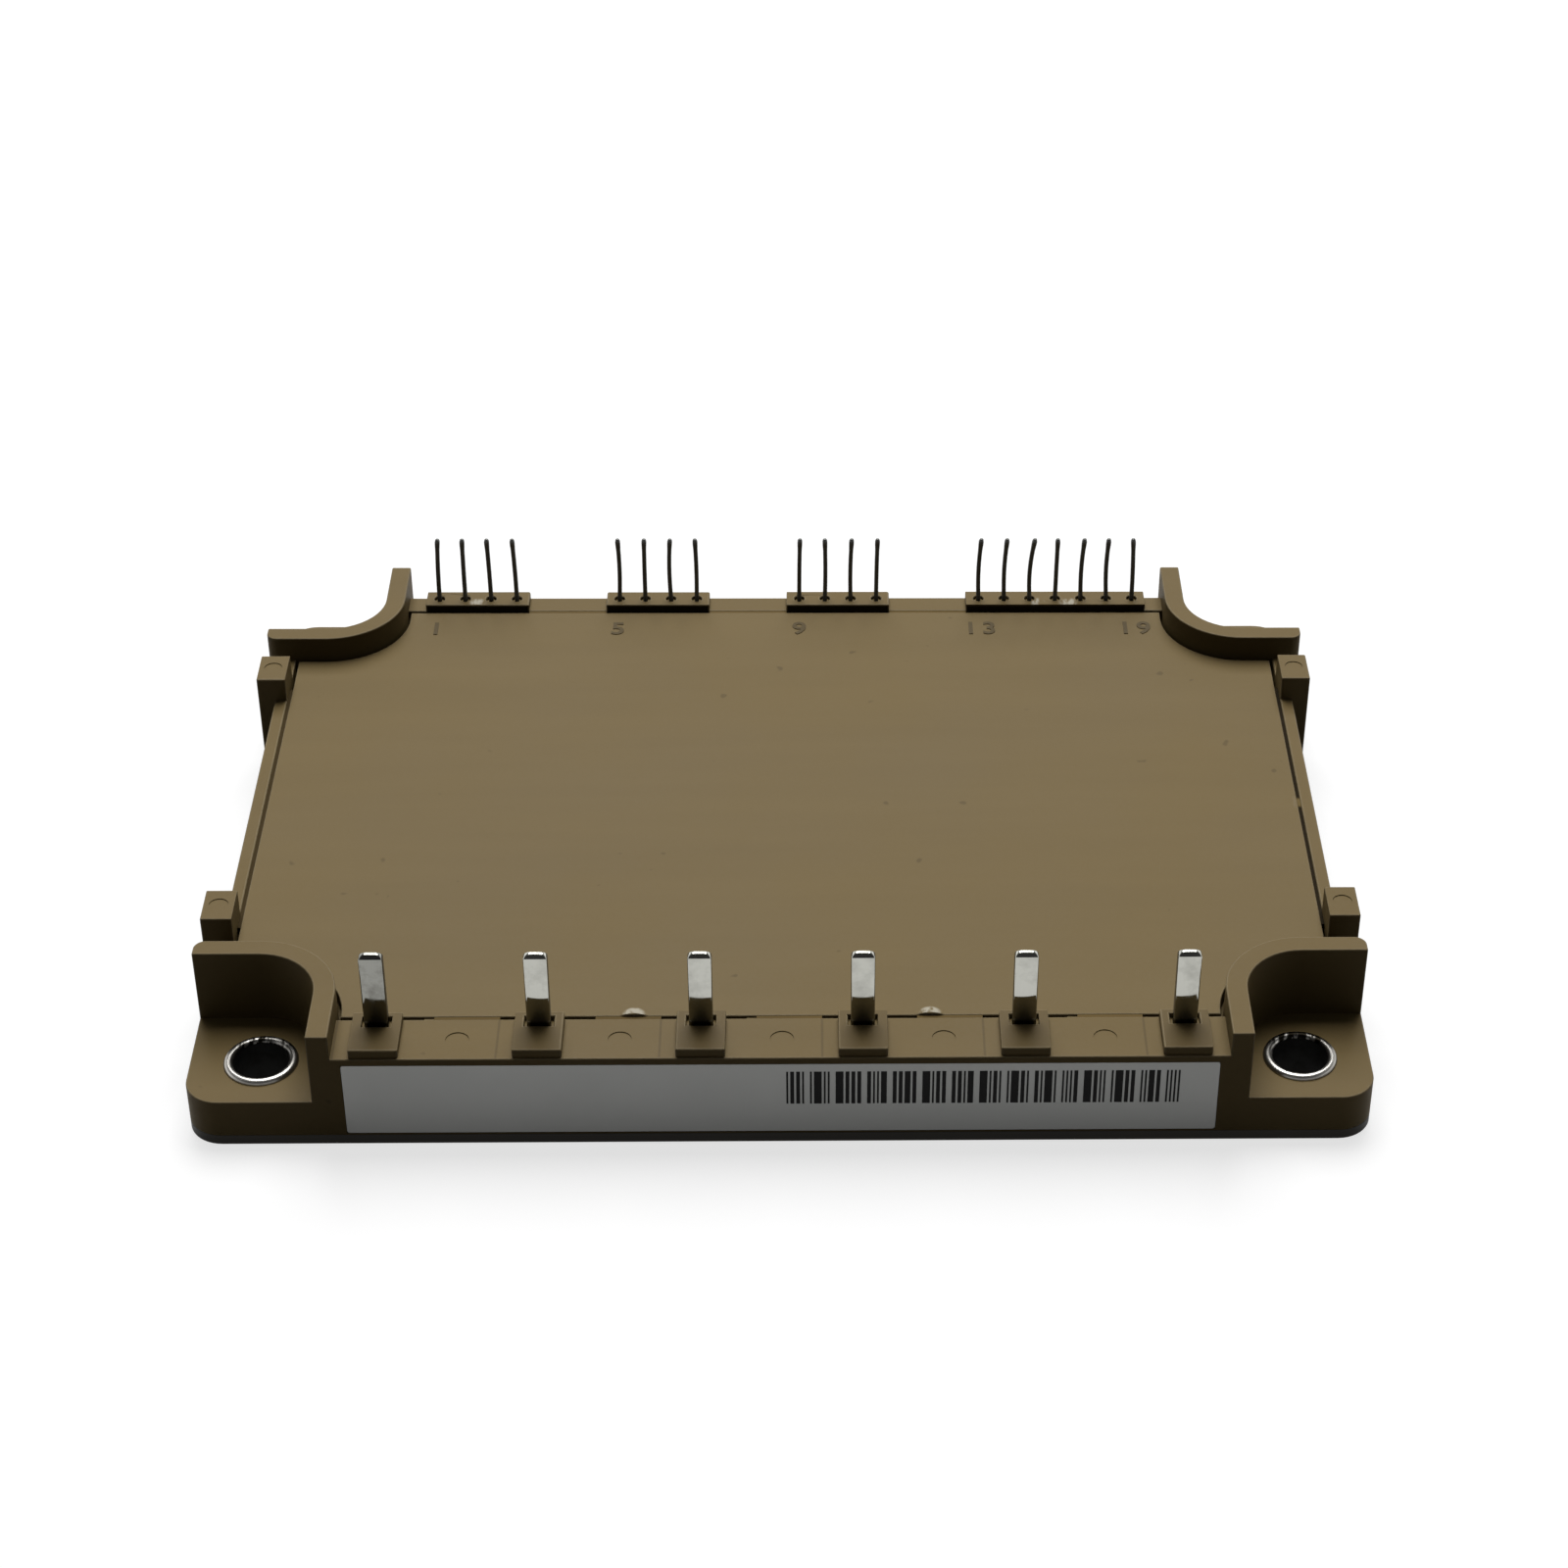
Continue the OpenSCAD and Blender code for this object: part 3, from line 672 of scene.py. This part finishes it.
def at_label(point):
    """True on the edges of the shallow seat of the label."""
    low = LABEL_LOW - 0.02 * MM
    high = LABEL_HIGH + 0.02 * MM
    return bool(((low < np.array(point)) & (np.array(point) < high)).all())


def frame_edge(point):
    """True where the frame's edges are rounded."""
    sharp = in_well(point) or in_seat(point) or in_mark(point) or at_label(point)
    return point.z > PLATE_TOP + 0.1 * MM and not sharp


# ---- operators


def chosen(context):
    """The sizes and the colours that the scene holds."""
    return context.scene.module_shape, context.scene.module_finish


class MODULE_OT_housing(Operator):
    """Rounds and finishes the frame, the lid and the base plate"""

    bl_idname = "power_module.housing"
    bl_label = "Housing"

    def execute(self, context):
        shape, colours = chosen(context)
        worn = [0.87 * a + 0.13 * b for a, b in zip(colours.frame, colours.whitened)]
        frame_finish = moulded("frame plastic", colours.frame, Tone=0.05, Gloss=0.52)
        for before, part, reach in BLOCK_RUBS:
            spot = (PIN_X[before] + part * PIN_PITCH, LID_HIGH[1] + 0.7 * MM, BLOCK_TOP)
            rub(frame_finish, colours.whitened, spot, (reach, 0.9, 0.4), 0.52)
        rim_marks(frame_finish)
        block_grime(frame_finish)
        frame_edges = moulded("frame plastic edges", worn, Tone=0.12, Gloss=0.42)
        lid_finish = moulded("lid plastic", colours.lid, Tone=0.045, Gloss=0.55, Specks=0.3)
        for x in (-LUG_X, LUG_X):
            spot = (x, WELL_FRONT + 0.5 * MM, RIM_TOP + 0.25 * MM)
            rub(lid_finish, colours.whitened, spot, (1.4, 1.5, 0.3), 0.62)
        rub(lid_finish, worn, (LID_HIGH[0] - 0.2 * MM, -0.4 * MM, RIM_TOP), (0.4, 1.2, 0.4), 0.55)
        lid_edges = moulded("lid plastic edges", worn, Tone=0.1, Gloss=0.45)
        plate_finish = plated("base plate metal", colours.plate, colours.tarnish,
                              Amount=0.3, Blotch=60.0, Gloss=0.4, Drawn=0.0)
        # Painted shade: the base plate's sides are darkened above its underside.
        edge_stain(plate_finish, colours.stained)
        rounded_shell("case", shape.edge_radius, shape.edge_steps, frame_edge,
                      (frame_finish, frame_edges))
        rounded_shell("lid", shape.edge_radius, shape.edge_steps,
                      lambda point: point.z > RIM_TOP - 0.1 * MM, (lid_finish, lid_edges))
        rounded_shell("base_plate", shape.metal_radius, 2,
                      lambda point: True, (plate_finish, plate_finish))
        return {"FINISHED"}


class MODULE_OT_numbers(Operator):
    """Raises the pin numbers on the lid"""

    bl_idname = "power_module.numbers"
    bl_label = "Pin numbers"

    def execute(self, context):
        shape, colours = chosen(context)
        # Painted shade: the numbers take a darker copy of the lid's colour, for the shade along their
        # strokes.
        base = dimmed(colours.lid, 0.55)
        finish = moulded("number plastic", base, Tone=0.05, Gloss=0.5)
        baseline = LID_HIGH[1] - 3.9 * MM
        work = bmesh.new()
        for number in NUMBERED_PINS:
            text = bpy.data.curves.new("number", "FONT")
            text.body = str(number)
            text.align_x = "CENTER"
            text.size = shape.digit_height / DIGIT_SHARE
            text.space_character = 1.25
            text.extrude = shape.digit_rise
            text.offset = shape.digit_weight
            holder = bpy.data.objects.new("number", text)
            digits = bpy.data.meshes.new_from_object(holder)
            digits.transform(Matrix.Translation((PIN_X[number - 1], baseline, RIM_TOP)))
            work.from_mesh(digits)
            bpy.data.objects.remove(holder)
            bpy.data.curves.remove(text)
            bpy.data.meshes.remove(digits)
        bmesh.ops.remove_doubles(work, verts=work.verts, dist=0.001 * MM)
        bmesh.ops.recalc_face_normals(work, faces=work.faces)
        mesh = bpy.data.meshes.new("pin_numbers")
        work.to_mesh(mesh)
        work.free()
        mesh.materials.append(finish)
        place("pin_numbers", mesh)
        return {"FINISHED"}


class MODULE_OT_label(Operator):
    """Lays the label film in its seat and prints a field of bars on it"""

    bl_idname = "power_module.label"
    bl_label = "Label"

    def execute(self, context):
        shape, colours = chosen(context)
        even = {"Metallic": 0.55, "Specular IOR Level": 0.4}
        film = plated("label film", colours.film, colours.film, even,
                      Amount=0.2, Blotch=120.0, Gloss=0.4, Drawn=0.0)
        ink = moulded("label ink", colours.ink, Tone=0.2, Gloss=0.45)
        self.film_sheet(shape, film)
        self.bars(shape, ink)
        return {"FINISHED"}

    def film_sheet(self, shape, finish):
        """The film: a rounded rectangle carried forwards, drawn in by a hair at its front edge."""
        middle = (LABEL_LOW + LABEL_HIGH) / 2
        half = (LABEL_HIGH - LABEL_LOW) / 2 - 0.03 * MM
        front = LABEL_LOW[1] + shape.ink_thick
        depths = np.array([front + shape.film_thick, front + 0.02 * MM, front])
        inset = np.array([0, 0, 0.02 * MM])
        centres = np.stack([np.full(3, middle[0]), depths, np.full(3, middle[2])], -1)
        sections = rounded_rectangles(half[0] - inset, half[2] - inset, shape.film_corner, 4)
        along = np.tile([0, 0, 1.0], (3, 1))
        piece = mesh_piece("label_film", *lofted(centres, along, sections), "label_film", finish)
        shade_smooth(piece, 30)
        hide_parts("label")

    def bars(self, shape, finish):
        """Bars that spell nothing: seeded widths and gaps of whole units, in groups of four.

        A bar starts where the widths and gaps before it add up to, and each is a flat box.
        """
        dice = np.random.default_rng(11)
        count = 60
        width = dice.choice([1, 2, 3, 4], count, p=[0.35, 0.35, 0.15, 0.15])
        gap = np.where(np.arange(count) % 4 == 3, 3, 1)
        start = np.cumsum(width + gap) - width - gap
        first, last = 0.35 * MM, 33.2 * MM
        foot, tall = 4.2 * MM, 3.5 * MM
        unit = (last - first) / (start[-1] + width[-1])
        even = np.ones(count)
        low = np.stack([first + unit * start, LABEL_LOW[1] * even, foot * even], -1)
        extent = np.stack([unit * width, 1.5 * shape.ink_thick * even, tall * even], -1)
        mesh_piece("label_bars", *boxes(low, low + extent), "label_film", finish)


class MODULE_OT_seam(Operator):
    """Lays the adhesive that fills parts of the gap round the lid, with painted shade on its side strips
    """

    bl_idname = "power_module.seam"
    bl_label = "Seam"

    def execute(self, context):
        shape, colours = chosen(context)
        finish = moulded("adhesive", colours.adhesive, Tone=0.2, Gloss=0.85)
        # Painted shade: the adhesive in the side gaps is darkened, the right side more, for the shade in
        # the gap.
        for side, part in ((-1, 0.4), (1, 0.14)):
            spot = (side * LID_HIGH[0], 0, RIM_TOP)
            rub(finish, dimmed(colours.adhesive, part), spot, (2, 45, 3), FULL_COVER)
        rub(finish, colours.frame, (LID_HIGH[0], -0.3 * MM, RIM_TOP), (2, 0.8, 3), FULL_COVER)
        over = shape.seam_overlap
        aside, deep = 0.6 * MM, 0.6 * MM
        front = (WELL_FRONT - over, WELL_FRONT + LID_GAP + over, shape.seam_drop)
        rear = (LID_HIGH[1] - over, WELL_REAR + over, shape.seam_drop)
        beside = (-POST_MARK[1], POST_MARK[1], shape.side_drop)
        inner, outer = LID_HIGH[0] - over, WELL_SIDE + over
        rows = []
        for x in BLADE_X[:-1]:
            middle = x + BLADE_PITCH / 2 + aside
            rows.append((middle - shape.seam_reach, middle + shape.seam_reach, *front))
        for x, following in zip(PIN_X[:-1], PIN_X[1:]):
            if following - x > 1.5 * PIN_PITCH:
                rows.append((x + PIN_PITCH / 2, following - PIN_PITCH / 2, *rear))
        rows += [(-outer, -inner, *beside), (inner, outer, *beside)]
        left, right, near, far, drop = np.array(rows).T
        low = np.stack([left, near, np.full(len(rows), RIM_TOP - deep)], -1)
        high = np.stack([right, far, RIM_TOP - drop], -1)
        mesh_piece("seam_adhesive", *boxes(low, high), "lid_plastic", finish)
        return {"FINISHED"}


class MODULE_OT_bushes(Operator):
    """Turns the four bushes with their rolled rims"""

    bl_idname = "power_module.bushes"
    bl_label = "Bushes"

    def execute(self, context):
        shape, colours = chosen(context)
        bright = plated("bush plating", colours.bush, colours.tarnish,
                        Amount=0.3, Blotch=500.0, Gloss=0.3, Drawn=0.0)
        # Painted shade: the bore takes a near-black copy of the plating, for the shade deep in the hole.
        bore = plated("bush bore", dimmed(colours.bush, 0.04), dimmed(colours.tarnish, 0.3),
                      Amount=0.8, Blotch=700.0, Gloss=0.6, Drawn=0.0)
        for number, node in enumerate(BUSHES):
            low, high = box(node)
            middle = (low + high) / 2
            # Painted shade: the back of each rolled rim is darkened in streaks, standing in for the dark
            # reflection there.
            rear = (middle[0], high[1] - 0.3 * MM, high[2])
            rub(bright, (0.012, 0.01, 0.007), rear, (5.0, 2.9, 2.0), 0.6)
            piece = self.turned(node, middle, low[2], high[2], number, shape, bright)
            piece.data.materials.append(bore)
            self.darken_bore(piece.data, middle, high[2] - shape.rim_radius, shape)
        return {"FINISHED"}

    def turned(self, node, middle, bottom, top, number, shape, finish):
        """A bush: its outline turned about a standing axis.

        The outline goes up the bore, over a half circle of the rim's radius and down the
        outside. Each radius is multiplied by 1 + 0.002 * sine(3 * angle + the bush's number).
        """
        bore = shape.bush_bore / 2
        rim = shape.rim_radius
        turn = np.linspace(pi, 0, 17)
        r = np.concatenate([[bore] * 4, bore + rim * (1 + np.cos(turn)), [bore + shape.bush_wall] * 2])
        heights = np.linspace(bottom, top - rim - 0.05 * MM, 4)
        z = np.concatenate([heights, top - rim + rim * np.sin(turn), [top - rim, bottom]])
        angle = np.linspace(0, tau, 96, endpoint=False)[:, None]
        wobble = 1 + 0.002 * np.sin(3 * angle + number)
        radius = r[None] * wobble
        tall = np.broadcast_to(z[None], radius.shape)
        x = middle[0] + radius * np.cos(angle)
        y = middle[1] + radius * np.sin(angle)
        faces = grid_faces(len(angle), len(r), True)
        points = np.stack([x, y, tall], -1).reshape(-1, 3)
        piece = mesh_piece(node + "_turned", points, faces, "bush_metal", finish)
        shade_smooth(piece, 40)
        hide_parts(node)
        return piece

    def darken_bore(self, mesh, middle, level, shape):
        """Gives the second material, a near-black painted shade, to the faces inside the bore, below the
        rolled rim.
        """
        x, y, z = read(mesh.polygons, "center", width=3).T
        reach = np.hypot(x - middle[0], y - middle[1])
        inside = (reach < shape.bush_bore / 2 + 0.03 * MM) & (z < level + 0.1 * MM)
        mesh.polygons.foreach_set("material_index", inside.astype(np.int32))


class MODULE_OT_blades(Operator):
    """Forms the six blade terminals"""

    bl_idname = "power_module.blades"
    bl_label = "Blade terminals"

    def execute(self, context):
        shape, colours = chosen(context)
        bright = plated("blade plating", colours.blade, colours.tarnish,
                        Amount=0.3, Blotch=500.0, Gloss=0.04, Drawn=0.01)
        # The first blade takes a copy of the plating that is darker and more tarnished.
        darker_plating = plated("darker blade plating", dimmed(colours.blade, 0.55), colours.tarnish,
                      Amount=0.6, Blotch=600.0, Gloss=0.06, Drawn=0.02)
        sheared = plated("sheared blade tip", dimmed(colours.blade, 0.8), colours.tarnish,
                         Amount=0.2, Blotch=900.0, Gloss=0.5, Drawn=0.0)
        for node in BLADES:
            finish = darker_plating if node == BLADES[0] else bright
            piece = mesh_piece(node + "_formed", *self.formed(node, shape), "blade_metal", finish)
            piece.data.materials.append(sheared)
            piece.data.polygons[-1].material_index = 1
            shade_smooth(piece, 32)
            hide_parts(node)
        return {"FINISHED"}

    def formed(self, node, shape):
        """A blade: a rounded rectangle carried along a bent path.

        At the tip, half the width is w / 2 - r + square root(r^2 - 0.995 s^2), with s the height
        above the start of the corner radius r. Half the thickness is t / 2 * (1 - 0.6 u), with
        u from 0 at the start of the bevelled tip to 1 at its end.
        """
        low, high = box(node)
        half_w = (high[0] - low[0]) / 2
        thick = shape.blade_thick
        corner = shape.blade_corner
        top = high[2]
        rise = corner * np.sin(np.linspace(0, pi / 2, 13))
        heights = np.concatenate([np.linspace(low[2] + 1.2 * thick, top - corner - 0.1 * MM, 8),
                                  top - corner + rise, [top - shape.blade_tip]])
        heights.sort()
        centres, outwards = bent_path(high[1], low[1] + thick / 2, low[2] + thick / 2, thick, heights)
        centres[:, 0] = (low[0] + high[0]) / 2
        s = np.clip(centres[:, 2] - (top - corner), 0, corner)
        wide = half_w - corner + np.sqrt(corner ** 2 - s ** 2 * 0.995)
        tip = np.clip((centres[:, 2] - (top - shape.blade_tip)) / shape.blade_tip, 0, 1)
        thin = thick / 2 * (1 - 0.6 * tip)
        sections = rounded_rectangles(wide, thin, shape.blade_edge)
        return lofted(centres, outwards, sections)


class MODULE_OT_pins(Operator):
    """Forms the nineteen control pins, each with its own slight bend"""

    bl_idname = "power_module.pins"
    bl_label = "Control pins"

    def execute(self, context):
        shape, colours = chosen(context)
        finish = plated("pin plating", colours.pin, colours.tarnish,
                        Amount=0.5, Blotch=900.0, Gloss=0.42)
        for node, lean, bow in zip(PINS, PIN_LEANS, PIN_BOWS):
            piece = mesh_piece(node + "_formed", *self.formed(node, lean * MM, bow * MM, shape),
                               "pin_metal", finish)
            shade_smooth(piece, 50)
            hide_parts(node)
        return {"FINISHED"}

    def formed(self, node, lean, bow, shape):
        """A pin: a rounded rectangle carried along a bent path that leans to one side.

        Sideways shift = lean * s^2 + bow * sine(pi * s), with s from 0 at the block to 1 at the
        tip. The head swells by an even ramp and then closes in by 0.45 + 0.55 * square root(u),
        with u from 1 to 0 over the last 0.3 mm.
        """
        low, high = box(node)
        half_w = (high[0] - low[0]) / 2
        thick = shape.pin_thick
        top = high[2]
        heights = np.concatenate([np.linspace(low[2] + 1.2 * thick, top - 1.3 * MM, 14),
                                  top - np.array([0.9, 0.6, 0.3, 0.14, 0.04, 0]) * MM])
        centres, outwards = bent_path(low[1], high[1] - thick / 2, low[2] + thick / 2, thick, heights)
        s = np.clip((centres[:, 2] - BLOCK_TOP) / (top - BLOCK_TOP), 0, 1)
        centres[:, 0] = (low[0] + high[0]) / 2 + lean * s ** 2 + bow * np.sin(pi * s)
        below = top - centres[:, 2]
        swell = shape.pin_head * np.clip((1.3 * MM - below) / (0.7 * MM), 0, 1)
        close = 0.45 + 0.55 * np.sqrt(np.clip(below / (0.3 * MM), 0, 1))
        wide = (half_w + swell) * close
        sections = rounded_rectangles(wide, thick / 2 * close, shape.pin_edge)
        return lofted(centres, outwards, sections)


class MODULE_OT_inside(Operator):
    """Finishes the power stage and the control board under the lid"""

    bl_idname = "power_module.inside"
    bl_label = "Inside"

    def execute(self, context):
        colours = context.scene.module_finish
        finishes = {
            "base_metal": plated("plain base metal", colours.plate, colours.tarnish, Amount=0.5),
            "case_plastic": moulded("plain frame plastic", colours.frame),
            "lid_plastic": moulded("plain lid plastic", colours.lid),
            "label_film": plated("plain label film", colours.film, colours.film, {"Metallic": 0.55}),
            "bush_metal": plated("plain bush plating", colours.bush, colours.tarnish),
            "blade_metal": plated("plain tin plating", colours.blade, colours.tarnish),
            "pin_metal": plated("plain pin plating", colours.pin, colours.tarnish, Amount=0.5),
            "copper": plated("copper", (0.62, 0.33, 0.2), (0.25, 0.1, 0.05), Amount=0.4, Gloss=0.3),
            "ceramic_white": moulded("ceramic", (0.8, 0.8, 0.77), Tone=0.02, Specks=0.05, Gloss=0.6),
            "switch_silicon": plated("switch silicon", (0.22, 0.22, 0.25), (0.1, 0.1, 0.12), Gloss=0.2),
            "diode_silicon": plated("diode silicon", (0.32, 0.32, 0.34), (0.15, 0.15, 0.16), Gloss=0.2),
            "wire_metal": plated("bond wire", (0.8, 0.8, 0.8), (0.4, 0.4, 0.4), Amount=0.2, Gloss=0.25),
            "gel_clear": moulded("clear filling", (0.8, 0.84, 0.86), {"Transmission Weight": 0.85},
                                 Tone=0.02, Specks=0.0, Gloss=0.15),
            "board_laminate": moulded("board laminate", (0.03, 0.12, 0.06),
                                      Tone=0.2, Grain=900.0, Gloss=0.35),
            "circuit_plastic": moulded("circuit plastic", (0.025, 0.025, 0.027), Tone=0.2, Gloss=0.55),
        }
        for part in frame["record"]["subparts"]:
            mesh = frame["nodes"][part["node"]].data
            mesh.materials.clear()
            mesh.materials.append(finishes[part["material_slot"]])
        return {"FINISHED"}


class MODULE_OT_stage(Operator):
    """Adds the floor, the lamp, the backdrop colour and the camera"""

    bl_idname = "power_module.stage"
    bl_label = "Stage"

    def execute(self, context):
        scene = context.scene
        light = scene.module_light
        self.floor(scene)
        self.key_lamp(scene, light)
        self.backdrop(scene, light)
        self.camera(scene)
        scene.view_settings.view_transform = "Standard"
        return {"FINISHED"}

    def floor(self, scene):
        """A wide flat square that is pale to look at and returns little light to the module."""
        reach = 3.0
        corners = [(-reach, -reach, 0), (reach, -reach, 0), (reach, reach, 0), (-reach, reach, 0)]
        mesh = bpy.data.meshes.new("floor")
        mesh.from_pydata(corners, [], [(0, 1, 2, 3)])
        floor = bpy.data.objects.new("floor", mesh)
        scene.collection.objects.link(floor)
        finish = bpy.data.materials.new("floor")
        finish.use_nodes = True
        tree = finish.node_tree
        tree.nodes.clear()
        path = add(tree, "LightPath").outputs
        seen = self.glowing(tree, 0.4, 0.72)
        mirrored = self.glowing(tree, 0.5, 0.3)
        plain = add(tree, "BsdfDiffuse", {"Color": opaque([0.09] * 3)}).outputs[0]
        mirror_or_plain = {0: path["Is Glossy Ray"], 1: plain, 2: mirrored}
        indirect = add(tree, "MixShader", mirror_or_plain).outputs[0]
        direct = calc(tree, "MAXIMUM", path["Is Camera Ray"], path["Is Transmission Ray"])
        mixed = add(tree, "MixShader", {0: direct, 1: indirect, 2: seen})
        add(tree, "OutputMaterial", {"Surface": mixed.outputs[0]})
        mesh.materials.append(finish)

    def glowing(self, tree, grey, strength):
        """A grey surface with an even white glow of its own."""
        surface = add(tree, "BsdfDiffuse", {"Color": opaque([grey] * 3)}).outputs[0]
        glow = add(tree, "Emission", {"Color": opaque([1] * 3), "Strength": strength})
        return add(tree, "AddShader", {0: surface, 1: glow.outputs[0]}).outputs[0]

    def key_lamp(self, scene, light):
        """A broad soft lamp behind and above, which throws short shadows forwards."""
        lamp = bpy.data.lights.new("key", "AREA")
        lamp.shape = "RECTANGLE"
        lamp.size = 0.6
        lamp.size_y = 0.75
        lamp.energy = light.key
        key = bpy.data.objects.new("key", lamp)
        height = radians(60)
        distance = 0.9
        towards = Vector((0, cos(height), sin(height)))
        key.location = distance * towards
        key.rotation_euler = (-towards).to_track_quat("-Z", "Y").to_euler()
        scene.collection.objects.link(key)

    def backdrop(self, scene, light):
        """White to the eye, dimmer overhead and in front to gloss, and dim to plain surfaces."""
        world = bpy.data.worlds.new("studio")
        scene.world = world
        world.use_nodes = True
        tree = world.node_tree
        tree.nodes.clear()
        direction = add(tree, "TexCoord").outputs["Generated"]
        parts = add(tree, "SeparateXYZ", {0: direction}).outputs
        path = add(tree, "LightPath").outputs
        eye = path["Is Camera Ray"]
        overhead = ramp(tree, parts["Z"], 0.3, 0.6, 1.0, light.ceiling)
        ahead = calc(tree, "MAXIMUM", ramp(tree, parts["Y"], -0.6, 0.0, 0.3, 1.0), eye)
        shown = self.white(tree, times(tree, overhead, ahead))
        dim = self.white(tree, ramp(tree, parts["Y"], -0.7, 0.5, 0.2 * light.fill, 1.8 * light.fill))
        either = calc(tree, "MAXIMUM", eye, path["Is Glossy Ray"])
        direct = calc(tree, "MAXIMUM", either, path["Is Transmission Ray"])
        mixed = add(tree, "MixShader", {0: direct, 1: dim, 2: shown})
        add(tree, "OutputWorld", {"Surface": mixed.outputs[0]})

    def white(self, tree, strength):
        """A white background of a strength."""
        return add(tree, "Background", {"Color": opaque([1] * 3), "Strength": strength}).outputs[0]

    def camera(self, scene):
        """A camera in front of the module and above it, turned and tilted by a few degrees."""
        lens = bpy.data.cameras.new("camera")
        lens.lens = 78.03
        lens.sensor_width = 36
        lens.shift_x = -0.0769
        lens.shift_y = -0.0053
        lens.clip_start = 0.01
        camera = bpy.data.objects.new("camera", lens)
        down, turned, rolled = radians(35.59), radians(1.833), radians(0.927)
        forwards = Vector((sin(turned) * cos(down), cos(turned) * cos(down), -sin(down)))
        level = Vector((cos(turned), -sin(turned), 0))
        upright = level.cross(forwards)
        right = level * cos(rolled) + upright * sin(rolled)
        up = upright * cos(rolled) - level * sin(rolled)
        view = Matrix((right, up, -forwards)).transposed().to_4x4()
        view.translation = (0.0029, -0.25146, 0.192)
        camera.matrix_world = view
        scene.collection.objects.link(camera)
        scene.camera = camera


class MODULE_PT_dressing(Panel):
    """Lists the pieces of the power module and their sizes, colours and lamps"""

    bl_idname = "MODULE_PT_dressing"
    bl_label = "Power module"
    bl_space_type = "VIEW_3D"
    bl_region_type = "UI"
    bl_category = "Power module"

    def draw(self, context):
        for operator in OPERATORS:
            self.layout.operator(operator.bl_idname)
        scene = context.scene
        for name in SETTINGS:
            column = self.layout.box().column()
            group = getattr(scene, name)
            for entry in group.__annotations__:
                column.prop(group, entry)


OPERATORS = (
    MODULE_OT_inside,
    MODULE_OT_housing,
    MODULE_OT_numbers,
    MODULE_OT_label,
    MODULE_OT_seam,
    MODULE_OT_bushes,
    MODULE_OT_blades,
    MODULE_OT_pins,
    MODULE_OT_stage,
)
SETTINGS = {"module_shape": ModuleShape, "module_finish": ModuleFinish, "module_light": ModuleLight}
CLASSES = (*SETTINGS.values(), *OPERATORS, MODULE_PT_dressing)


def register():
    """Registers the classes and hangs the settings on the scene."""
    for item in CLASSES:
        bpy.utils.register_class(item)
    for name, group in SETTINGS.items():
        setattr(bpy.types.Scene, name, PointerProperty(type=group))


def unregister():
    """Takes the settings and the classes away again."""
    for name in SETTINGS:
        delattr(bpy.types.Scene, name)
    for item in reversed(CLASSES):
        bpy.utils.unregister_class(item)


def main():
    """Builds every piece and the stage."""
    register()
    bpy.ops.power_module.inside()
    bpy.ops.power_module.housing()
    bpy.ops.power_module.numbers()
    bpy.ops.power_module.label()
    bpy.ops.power_module.seam()
    bpy.ops.power_module.bushes()
    bpy.ops.power_module.blades()
    bpy.ops.power_module.pins()
    bpy.ops.power_module.stage()
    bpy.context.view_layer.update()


if __name__ == "__main__":
    main()
